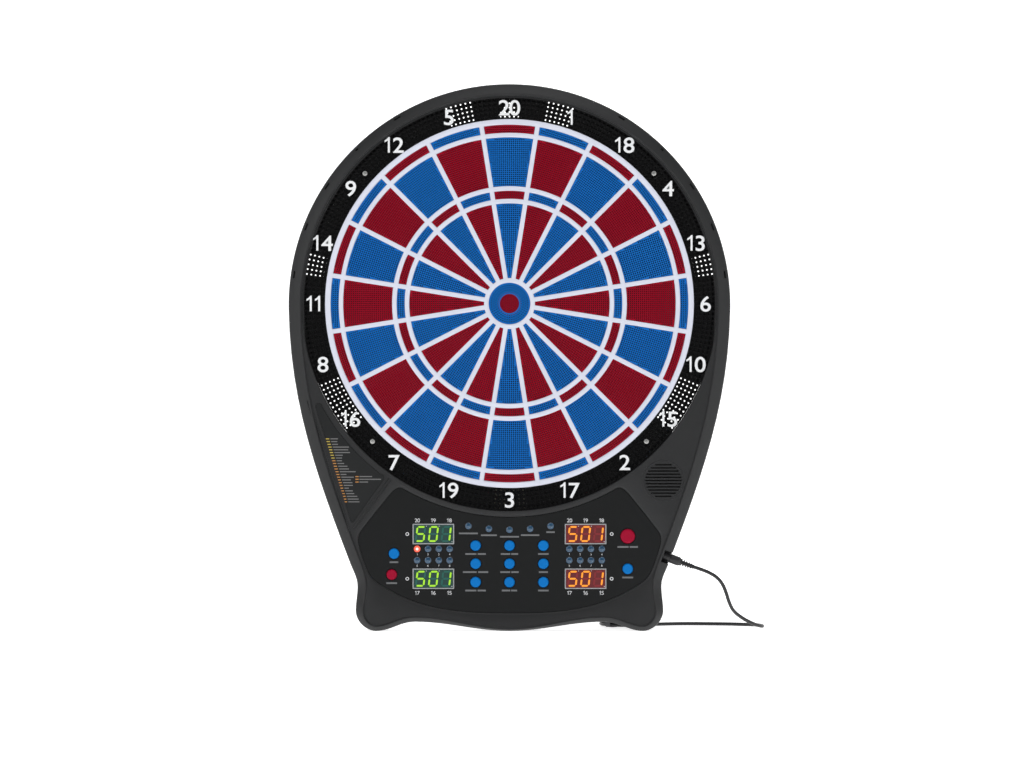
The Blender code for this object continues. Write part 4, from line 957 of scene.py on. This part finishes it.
spider_loops = [circle(0, BULL_Z, SPIDER_R, 240), circle(0, BULL_Z, 0.0198, 72)]
spider_loops += [wedge(*bed[:2], BAR / 2, *bed[2:], 18 * i) for i in range(20) for bed in BEDS]
white_nylon = moulded("white_nylon", (0.68, 0.70, 0.80), 0.36, grain=0.0012, depth=0.00003, mottle=0.03,
                      scuff=0.10, Subsurface_Weight=0.05, Subsurface_Radius=(0.002, 0.002, 0.002))
made("target_spider", cut_out(spider_loops, -0.0125, -0.0065, 0.0007), white_nylon, "housing",
     "white_plastic", ("spider",), sharp=50)

# ------------------------------------------------------------------ sectors
# Each number's four beds stand on one web behind the spider. Doubles and trebles are one colour and
# singles the other, by turns. The beds are polypropylene, drilled all over for the plastic tips.

BED_Y, WEB_Y = -0.0112, -0.0062
HOLE_PITCH, HOLE_R = 0.00195, 0.00080


def drilled(bed, hole_edge=0.00100):
    """A bed's outline and its holes, upright about the origin, on a square grid along its middle line."""
    r_in, r_out, steps_in, steps_out = bed[0] + 0.0003, bed[1] - 0.0003, *bed[2:]
    side = BAR / 2 + 0.0003
    loops = [wedge(r_in, r_out, side, steps_in, steps_out, 0, 0)]
    slant = math.radians(9)
    for row in range(int(r_in / HOLE_PITCH), int(r_out / HOLE_PITCH) + 1):
        for column in range(-14, 15):
            x, z = column * HOLE_PITCH, row * HOLE_PITCH
            radius = math.hypot(x, z)
            room = z * math.sin(slant) - abs(x) * math.cos(slant) - side
            if r_in + hole_edge < radius < r_out - hole_edge and room > hole_edge:
                loops.append(circle(x, z, HOLE_R, 6))
    return loops


def bed_paint(name, low, high):
    """Dull polypropylene, a little paler and rougher where tips strike most, with fine pitting."""
    paint = Paint(name, Specular_IOR_Level=0.16)
    wear = paint.noise(0.030, 4, 0.6)
    pits = paint.noise(0.0012, 3, 0.7)
    return paint.finish(Base_Color=paint.mixed(wear * 0.75 + pits * 0.25, low, high),
                        Roughness=0.46 + (wear - 0.5) * 0.16 + (pits - 0.5) * 0.1,
                        Normal=paint.bumped(pits, 0.00006))


bed_red = bed_paint("bed_red", (0.27, 0.001, 0.013), (0.36, 0.002, 0.020))
bed_blue = bed_paint("bed_blue", (0.004, 0.120, 0.44), (0.007, 0.165, 0.56))
WEB_BACK = WEB_Y + 0.0015
web_loops = [wedge(0.0235, 0.1730, 0.0003, 4, 12, 0, 0)]
web_loops += [wedge(bed[0] + 0.0007, bed[1] - 0.0007, BAR / 2 + 0.0007, *bed[2:], 0, 0) for bed in BEDS]
web = cut_out(web_loops, WEB_Y, WEB_BACK)
inner_singles, trebles, outer_singles, doubles = [cut_out(drilled(bed), BED_Y, WEB_BACK) for bed in BEDS]
ring_beds = mesh_of("ring_beds", gathered(trebles, doubles))
single_beds = mesh_of("single_beds", gathered(web, inner_singles, outer_singles))
for i, number in enumerate(BED_NUMBERS):
    stand = Matrix.Translation(BULL) @ Matrix.Rotation(math.radians(18 * i), 4, "Y")
    for kind, mesh, colour in (("rings", ring_beds, i % 2), ("singles", single_beds, 1 - i % 2)):
        copy = mesh.copy()
        copy.transform(stand)
        paint, slot = ((bed_red, "red_bed"), (bed_blue, "blue_bed"))[colour]
        placed(f"beds_{number}_{kind}", copy, paint, f"sector_{number}",
               (f"sector_{number}",) if kind == "rings" else ())
bpy.data.meshes.remove(ring_beds)
bpy.data.meshes.remove(single_beds)


def drilled_disc(inner, outer, rings):
    """A round bed with holes on circles, as (radius, count)."""
    loops = [circle(0, BULL_Z, outer, 72)]
    if inner:
        loops.append(circle(0, BULL_Z, inner, 48))
    for radius, count in rings:
        for i in range(count):
            spot = polar(radius, 360 * i / count)
            loops.append(circle(*spot, 0.00080, 8))
    return cut_out(loops, BED_Y, WEB_BACK)


def bull_flange(inner, outer):
    """The thin collar that holds a bull behind its neighbour."""
    return turned([(inner, 0), (outer, 0), (outer, 0.0015), (inner, 0.0015)], 72, (0, WEB_Y, BULL_Z))


outer_holes = [(0.0111 + 0.0021 * i, 32 + 6 * i) for i in range(4)]
outer_bull = gathered(drilled_disc(0.0093, 0.0195, outer_holes), bull_flange(0.0190, 0.0227))
made("bull_outer", outer_bull, bed_blue, "outer_bull", "blue_bed", ("outer_bull",))
inner_holes = [(0.0020 * i, max(6 * i, 1)) for i in range(5)]
inner_bull = gathered(drilled_disc(0, 0.0090, inner_holes), bull_flange(0.0086, 0.0112))
made("bull_inner", inner_bull, bed_red, "inner_bull", "red_bed", ("inner_bull",))

# ------------------------------------------------------------------ sensor stack
# Behind the beds lie a rubber mat, the printed switch film with its tail, and a hardboard disc.

rubber = moulded("mat_rubber", (0.012, 0.012, 0.012), 0.75, grain=0.0006, depth=0.00005, mottle=0.3)
film = Paint("switch_film")
film_tracks = film.noise(0.006, 2, 0.4, (1.0, 1.0, 0.15))
film = film.finish(Base_Color=film.mixed(film_tracks, (0.42, 0.40, 0.28), (0.60, 0.58, 0.46)),
                   Roughness=0.26 + film_tracks * 0.14)
board = Paint("hardboard")
fibres = board.noise(0.0018, 5, 0.7, (1.0, 1.0, 0.4))
board = board.finish(Base_Color=board.mixed(fibres, (0.10, 0.058, 0.028), (0.22, 0.135, 0.070)),
                     Roughness=0.78 + fibres * 0.1, Normal=board.bumped(fibres, 0.0001))
for node, paint in (("pressure_mat", rubber), ("sensor_membrane", film), ("backing_plate", board)):
    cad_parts[node].data.materials.clear()
    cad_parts[node].data.materials.append(paint)

# ------------------------------------------------------------------ control panel
# A dark acrylic fascia with a soft gloss, cut for the displays, lights and buttons. Its marks are
# screen printed: plain bars where an owner would read words, and the game numbers.

PANEL_Y = -0.0128
PRINT_Y = PANEL_Y - 0.00008
DISPLAY_X, DISPLAY_Z = 0.0723, (0.0926, 0.0501)
LIGHT_R, LIGHT_PITCH, LIGHT_ROWS_Z = 0.0031, 0.0103, (0.0784, 0.0676)
MODE_LIGHTS = [polar(0.2150, 180 + 5.2305 * (i - 2)) for i in range(5)]
SCORE_LIGHTS = {side: [Vector((x + (i - 1.5) * LIGHT_PITCH, z)) for z in LIGHT_ROWS_Z for i in range(4)]
                for side, x in (("left", -DISPLAY_X), ("right", DISPLAY_X))}
BUTTONS = [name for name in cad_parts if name.startswith("button_")]


def button_place(name):
    """Middle of a button and its radius, from the solid's flange."""
    low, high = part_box(name)
    return Vector(((low.x + high.x) / 2, (low.z + high.z) / 2)), (high.x - low.x) / 2 - 0.0012


panel_loops = [panel_outline(0)]
panel_loops += [oblong(side * DISPLAY_X, z, 0.0401, 0.0200, 0.0006) for side in (-1, 1) for z in DISPLAY_Z]
for name in BUTTONS:
    spot, radius = button_place(name)
    panel_loops.append(circle(*spot, radius + 0.0004, 40))
ALL_LIGHTS = MODE_LIGHTS + SCORE_LIGHTS["left"] + SCORE_LIGHTS["right"]
panel_loops += [circle(*spot, LIGHT_R + 0.0002, 28) for spot in ALL_LIGHTS]
panel_black = moulded("panel_black", (0.0040, 0.0046, 0.0048), 0.40, grain=0.0009, depth=0.00001, mottle=0.10,
                      scuff=0.05, Specular_IOR_Level=0.22)
made("panel_fascia", cut_out(panel_loops, PANEL_Y, PANEL_Y + 0.0020, 0.0003), panel_black, "housing",
     "gloss_black", ("control_panel",), sharp=20)


def ink(name, colour):
    """Screen ink: flat and a little uneven."""
    paint = Paint(name)
    cover = paint.noise(0.0008, 3, 0.6)
    return paint.finish(Base_Color=paint.mixed(cover, shade(colour, 0.88), shade(colour, 1.08)),
                        Roughness=0.5 + cover * 0.15)


def bar(x, z, width, height, y=PRINT_Y):
    return brick((x - width / 2, y, z - height / 2), (x + width / 2, y + 0.00012, z + height / 2))


white_ink = ink("white_ink", (0.70, 0.71, 0.72))
marks = []
for side in (-1, 1):
    for i in range(3):
        for number, z in ((20 - i, 0.1056), (17 - i, 0.0367)):
            x = side * DISPLAY_X + (i - 1) * 0.0152
            marks.append(lettering(str(number), 0.0037, Vector((x, z)), PRINT_Y, 0.00012))
    for row, z in enumerate(LIGHT_ROWS_Z):
        for i in range(4):
            x = side * DISPLAY_X + (i - 1.5) * LIGHT_PITCH
            marks.append(lettering(str(4 * row + i + 1), 0.0018, Vector((x, z - 0.0051)), PRINT_Y, 0.00012))
    for z in DISPLAY_Z:
        marks.append(turned([(0.0010, 0), (0.0017, 0), (0.0017, 0.00012), (0.0010, 0.00012)], 20,
                            (side * (DISPLAY_X + 0.0248), PRINT_Y, z)))
made("panel_print", gathered(*marks), white_ink, "housing", "gloss_black", outwards=False)

BUTTON_LABELS = {"miss": 0.0195, "bounce_out": 0.0165, "player": 0.0100, "score": 0.0240, "guard": 0.0175,
                 "game": 0.0085, "match": 0.0195, "handicap": 0.0145, "select": 0.0100, "reset": 0.0082,
                 "power": 0.0102, "start": 0.0194, "sound": 0.0103}
LABEL_DROPS = {"reset": 0.0082, "power": 0.0082, "start": 0.0102, "sound": 0.0082}
MODE_LABELS = ((0.0058, 0.0080), (0.0060, 0.0175), (0.0066, 0.0180), (0.0061, 0.0150), (0.0070, 0.0180))
labels = []
for name, width in BUTTON_LABELS.items():
    spot, _ = button_place("button_" + name)
    z = spot.y - LABEL_DROPS.get(name, 0.0080)
    words = ((0, 1),) if width < 0.012 else ((-0.23, 0.54), (0.30, 0.40))
    labels += [bar(spot.x + offset * width, z, share * width, 0.0016) for offset, share in words]
for spot, (drop, width) in zip(MODE_LIGHTS, MODE_LABELS):
    labels.append(bar(spot.x, spot.y - drop, width, 0.0015))
made("panel_labels", gathered(*labels), ink("label_ink", (0.15, 0.155, 0.16)), "housing", "gloss_black",
     outwards=False)

# ------------------------------------------------------------------ displays
# Four three-digit LED displays behind smoked windows: yellow-green on the left, amber on the right.
# Each has a pale frame, slanted segments that glow, and the unlit ones faintly seen beside them; the unlit
# segments and the smoked windows carry a weak painted glow.

SEGMENTS = {"a": ((-1, 2), (1, 2)), "b": ((1, 2), (1, 0)), "c": ((1, 0), (1, -2)), "d": ((-1, -2), (1, -2)),
            "e": ((-1, 0), (-1, -2)), "f": ((-1, 2), (-1, 0)), "g": ((-1, 0), (1, 0))}
DIGITS = {"5": "acdfg", "0": "abcdef", "1": "bc"}


def segment(middle, name, y):
    """One lit bar of a digit: a slim hexagon, leaning with the digit."""
    half_w, half_h, thick, lean = 0.00365, 0.00335, 0.00085, 0.12
    start, end = (Vector((x * half_w, z * half_h)) for x, z in SEGMENTS[name])
    along = (end - start).normalized()
    across = Vector((along.y, -along.x)) * thick
    start, end = start + along * 0.0004, end - along * 0.0004
    loop = [start, start + along * thick + across, end - along * thick + across, end,
            end - along * thick - across, start + along * thick - across]
    return cut_out([[middle + Vector((p.x + lean * p.y, p.y)) for p in loop]], y, y + 0.0003)


def glowing(name, colour, deep, strength):
    """An emissive paint, brighter at its heart: the light of a lit LED, or painted glow on parts that are no
    lamp.
    """
    paint = Paint(name, Emission_Strength=strength)
    heart = paint.noise(0.0016, 1)
    return paint.finish(Base_Color=paint.mixed(heart, shade(deep, 0.8), deep), Roughness=0.35 + heart * 0.1,
                        Emission_Color=paint.mixed(heart, shade(colour, 0.85), colour))


frame_grey = moulded("frame_grey", (0.34, 0.35, 0.36), 0.38, grain=0.0008, mottle=0.05)
lit = {"left": glowing("lit_green", (0.42, 0.86, 0.02), (0.08, 0.16, 0.01), 0.88),
       "right": glowing("lit_amber", (1.0, 0.34, 0.015), (0.26, 0.05, 0.006), 1.10)}
# Unlit segments and smoked windows get a weak emission too: painted glow, for parts that give no light of
# their own.
unlit_painted_glow = {"left": glowing("unlit_green_painted_glow", (0.004, 0.125, 0.095), (0.002, 0.045, 0.034), 0.5),
         "right": glowing("unlit_amber_painted_glow", (0.24, 0.006, 0.012), (0.060, 0.003, 0.004), 0.7)}
window_painted_glow = {"left": glowing("window_green_painted_glow", (0.001, 0.045, 0.036), (0.002, 0.018, 0.014), 0.6),
         "right": glowing("window_red_painted_glow", (0.125, 0.002, 0.004), (0.030, 0.001, 0.002), 0.8)}
for side, sign in (("left", -1), ("right", 1)):
    for level, z in zip(("upper", "lower"), DISPLAY_Z):
        name = f"display_{level}_{side}"
        x = sign * DISPLAY_X
        rim = cut_out([oblong(x, z, 0.0395, 0.0194, 0.0006), oblong(x, z, 0.0375, 0.0174, 0.0003)],
                      PANEL_Y - 0.0003, -0.0043, 0.0002)
        made(name + "_frame", rim, frame_grey, "housing", "display_frame", (name,))
        window = brick((x - 0.0187, PANEL_Y + 0.0003, z - 0.0087), (x + 0.0187, -0.0045, z + 0.0087))
        made(name + "_window", window, window_painted_glow[side], "housing", "smoked_lens")
        shown, hidden, dots = [], [], []
        for i, digit in enumerate("501"):
            middle = Vector((x + (i - 1) * 0.0122, z))
            for key in SEGMENTS:
                (shown if key in DIGITS[digit] else hidden).append(segment(middle, key, PANEL_Y + 0.0001))
            dots.append(turned([(0, 0), (0.00040, 0), (0.00040, 0.0003), (0, 0.0003)], 10,
                               (middle.x + 0.0055, PANEL_Y + 0.0001, z + 0.0074 - 0.0148 * (i == 2))))
        for ending, parts, paint in (("digits", shown, lit[side]), ("unlit_painted_glow", hidden, unlit_painted_glow[side]),
                                     ("dots", dots, white_ink)):
            made(f"{name}_{ending}", gathered(*parts), paint, "housing", "smoked_lens")

# ------------------------------------------------------------------ lights
# Smoked blue lenses stand a little proud of the fascia, five for the modes and eight for each side's
# score. The first one on the left is lit.

lens_paint = Paint("lens_blue", IOR=1.49, Coat_Roughness=0.05)
lens_depth = lens_paint.noise(0.0022, 2, 0.5)
lens_blue = lens_paint.finish(
    Base_Color=lens_paint.mixed(lens_depth, (0.006, 0.030, 0.070), (0.020, 0.090, 0.175)),
    Roughness=0.10 + lens_depth * 0.10, Coat_Weight=0.6 + lens_depth * 0.2)


def lens(spot):
    """A low domed lens with its skirt."""
    return turned([(0, -0.0007), (LIGHT_R * 0.5, -0.0006), (LIGHT_R * 0.85, -0.0003), (LIGHT_R, 0.0001),
                   (LIGHT_R, 0.0026), (0, 0.0026)], 28, (spot.x, PANEL_Y, spot.y))


def light_group(name, spots, strip, node):
    """Lenses joined by a strip behind the fascia."""
    strip = cut_out([strip], PANEL_Y + 0.0023, PANEL_Y + 0.0038, 0.0002)
    body = gathered(strip, *[lens(spot) for spot in spots])
    made(name, body, lens_blue, "housing", "smoked_lens", (node,), outwards=False)


first, others = SCORE_LIGHTS["left"][0], SCORE_LIGHTS["left"][1:]
strip_size = (3 * LIGHT_PITCH + 2 * LIGHT_R + 0.0015,
              LIGHT_ROWS_Z[0] - LIGHT_ROWS_Z[1] + 2 * LIGHT_R + 0.0015)
light_group("score_lenses_left", others, oblong(-DISPLAY_X, 0.0730, *strip_size, 0.001), "score_lights_left")
light_group("score_lenses_right", SCORE_LIGHTS["right"], oblong(DISPLAY_X, 0.0730, *strip_size, 0.001),
            "score_lights_right")
mode_strip = arc(0.2196, 167.5, 192.5, 24) + arc(0.2104, 192.5, 167.5, 24)
light_group("mode_lenses", MODE_LIGHTS, mode_strip, "mode_lights")
lens_lit = glowing("lens_lit", (1.0, 0.13, 0.06), (0.35, 0.05, 0.04), 0.85)
made("lit_lens", lens(first), lens_lit, "housing", "smoked_lens")
core = turned([(0, 0), (0.0011, 0.0001), (0.0014, 0.0005), (0, 0.0005)], 20,
              (first.x, PANEL_Y - 0.0010, first.y))
core_lit = glowing("lens_core", (1.0, 0.80, 0.70), (0.6, 0.5, 0.4), 1.0)
made("lit_core", core, core_lit, "housing", "smoked_lens")
# Painted highlights: a small pale disc at the lower right of each unlit lens stands in for the glint of light
# on it.
glints = [turned([(0, 0), (0.00062, 0.0001), (0.00062, 0.0003), (0, 0.0003)], 12,
                 (spot.x + 0.0011, PANEL_Y - 0.00066, spot.y - 0.0010))
          for spot in MODE_LIGHTS + others + SCORE_LIGHTS["right"]]
made("painted_lens_glints", gathered(*glints), moulded("painted_lens_glint", (0.10, 0.20, 0.27), 0.3, grain=0.0004), "housing",
     "smoked_lens")

# ------------------------------------------------------------------ buttons
# Moulded push buttons with a flat satin top and a rounded edge, sprung from the board behind.


def button_paint(name, colour):
    """Tinted satin plastic."""
    return moulded(name, colour, 0.40, grain=0.0006, depth=0.00001, mottle=0.05, scuff=0.10,
                   Specular_IOR_Level=0.14)


button_blue = button_paint("button_blue", (0.0, 0.165, 0.52))
button_red = button_paint("button_red", (0.33, 0.001, 0.025))
for name in BUTTONS:
    spot, radius = button_place(name)
    low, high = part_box(name)
    top = low.y
    flange = PANEL_Y + 0.0023
    profile = [(0, top + 0.00012), (radius * 0.60, top + 0.00006), (radius * 0.80, top),
               (radius * 0.90, top + 0.00015), (radius * 0.97, top + 0.0005), (radius, top + 0.0011),
               (radius, flange), (radius + 0.0012, flange), (radius + 0.0012, flange + 0.0012),
               (0.0018, flange + 0.0012), (0.0018, high.y), (0, high.y)]
    red = name in ("button_power", "button_start")
    made(name + "_cap", turned(profile, 48, (spot.x, 0, spot.y)), button_red if red else button_blue, name,
         "red_button" if red else "blue_button", (name,))

# ------------------------------------------------------------------ speaker and circuit board
# A small paper-cone speaker glued behind the grille, and the board with its chips and connector.

paper = Paint("speaker_paper")
felt = paper.noise(0.0010, 4, 0.7)
paper = paper.finish(Base_Color=paper.mixed(felt, (0.010, 0.010, 0.010), (0.035, 0.034, 0.032)),
                     Roughness=0.75 + felt * 0.2, Normal=paper.bumped(felt, 0.00008))
cone = turned([(0, 0.0012), (0.0035, 0.0010), (0.0045, 0.0022), (0.0150, 0.0006), (0.0160, 0.0001),
               (0.0170, 0.0006), (0.0185, 0), (0.0185, 0.0020), (0.00875, 0.0065), (0.00875, 0.0120),
               (0, 0.0120)], 72,
              (SPEAKER.x, FACE + WALL + 0.0003, SPEAKER.y))
made("speaker_unit", cone, paper, "housing", "speaker_cone", ("speaker",))

laminate = Paint("solder_mask", Coat_Roughness=0.2)
weave = laminate.noise(0.0011, 3, 0.6)
laminate = laminate.finish(Base_Color=laminate.mixed(weave, (0.006, 0.070, 0.022), (0.014, 0.130, 0.045)),
                           Roughness=0.35 + weave * 0.15, Coat_Weight=0.3 + weave * 0.2)
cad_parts["main_board"].data.materials.clear()
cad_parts["main_board"].data.materials.append(laminate)

# ------------------------------------------------------------------ game list plate
# A thin dark plate set in the bezel. It lists the games in two columns, drawn here as plain bars:
# a short coloured code and a longer pale title on each line.

LIST_Y = FACE + 0.0002
LIST_BAR = 0.0009
list_black = moulded("list_black", (0.0088, 0.0096, 0.0100), 0.42, grain=0.0007, depth=0.00002, mottle=0.08,
                     Specular_IOR_Level=0.28)
made("list_plate", cut_out([list_outline(0)], LIST_Y, LIST_Y + 0.0005, 0.0001), list_black, "housing",
     "gloss_black", ("game_list_plate",), sharp=20)
TITLE_WIDTHS = (0.0071, 0.0057, 0.0056, 0.0154, 0.0139, 0.0148, 0.0072, 0.0058, 0.0050, 0.0063, 0.0087,
                0.0094, 0.0150, 0.0055, 0.0118, 0.0083, 0.0090, 0.0087, 0.0041, 0.0071, 0.0077, 0.0099,
                0.0105, 0.0105)
# Each line has its place, its code's length, where its title starts and how long that is.
lines = [(-0.1744 + 0.00074 * i, 0.1830 - 0.0026 * i, 0.0032, 0.0044, width)
         for i, width in enumerate(TITLE_WIDTHS)]
lines += [(-0.1463, 0.1472 - 0.0026 * i, 0.0030, 0.0038, width)
          for i, width in enumerate((0.0121, 0.0205, 0.0082))]
codes = [bar(x + code / 2, z, code, LIST_BAR, LIST_Y - 0.0001) for x, z, code, _, _ in lines]
titles = [bar(x + start + width / 2, z, width, LIST_BAR, LIST_Y - 0.0001) for x, z, _, start, width in lines]
for name, bars, paint in (("titles", titles, ink("grey_ink", (0.16, 0.16, 0.16))),
                          ("codes_yellow", codes[:8], ink("yellow_ink", (0.50, 0.38, 0.06))),
                          ("codes_orange", codes[8:], ink("orange_ink", (0.50, 0.22, 0.05)))):
    made("list_" + name, gathered(*bars), paint, "housing", "gloss_black", outwards=False)
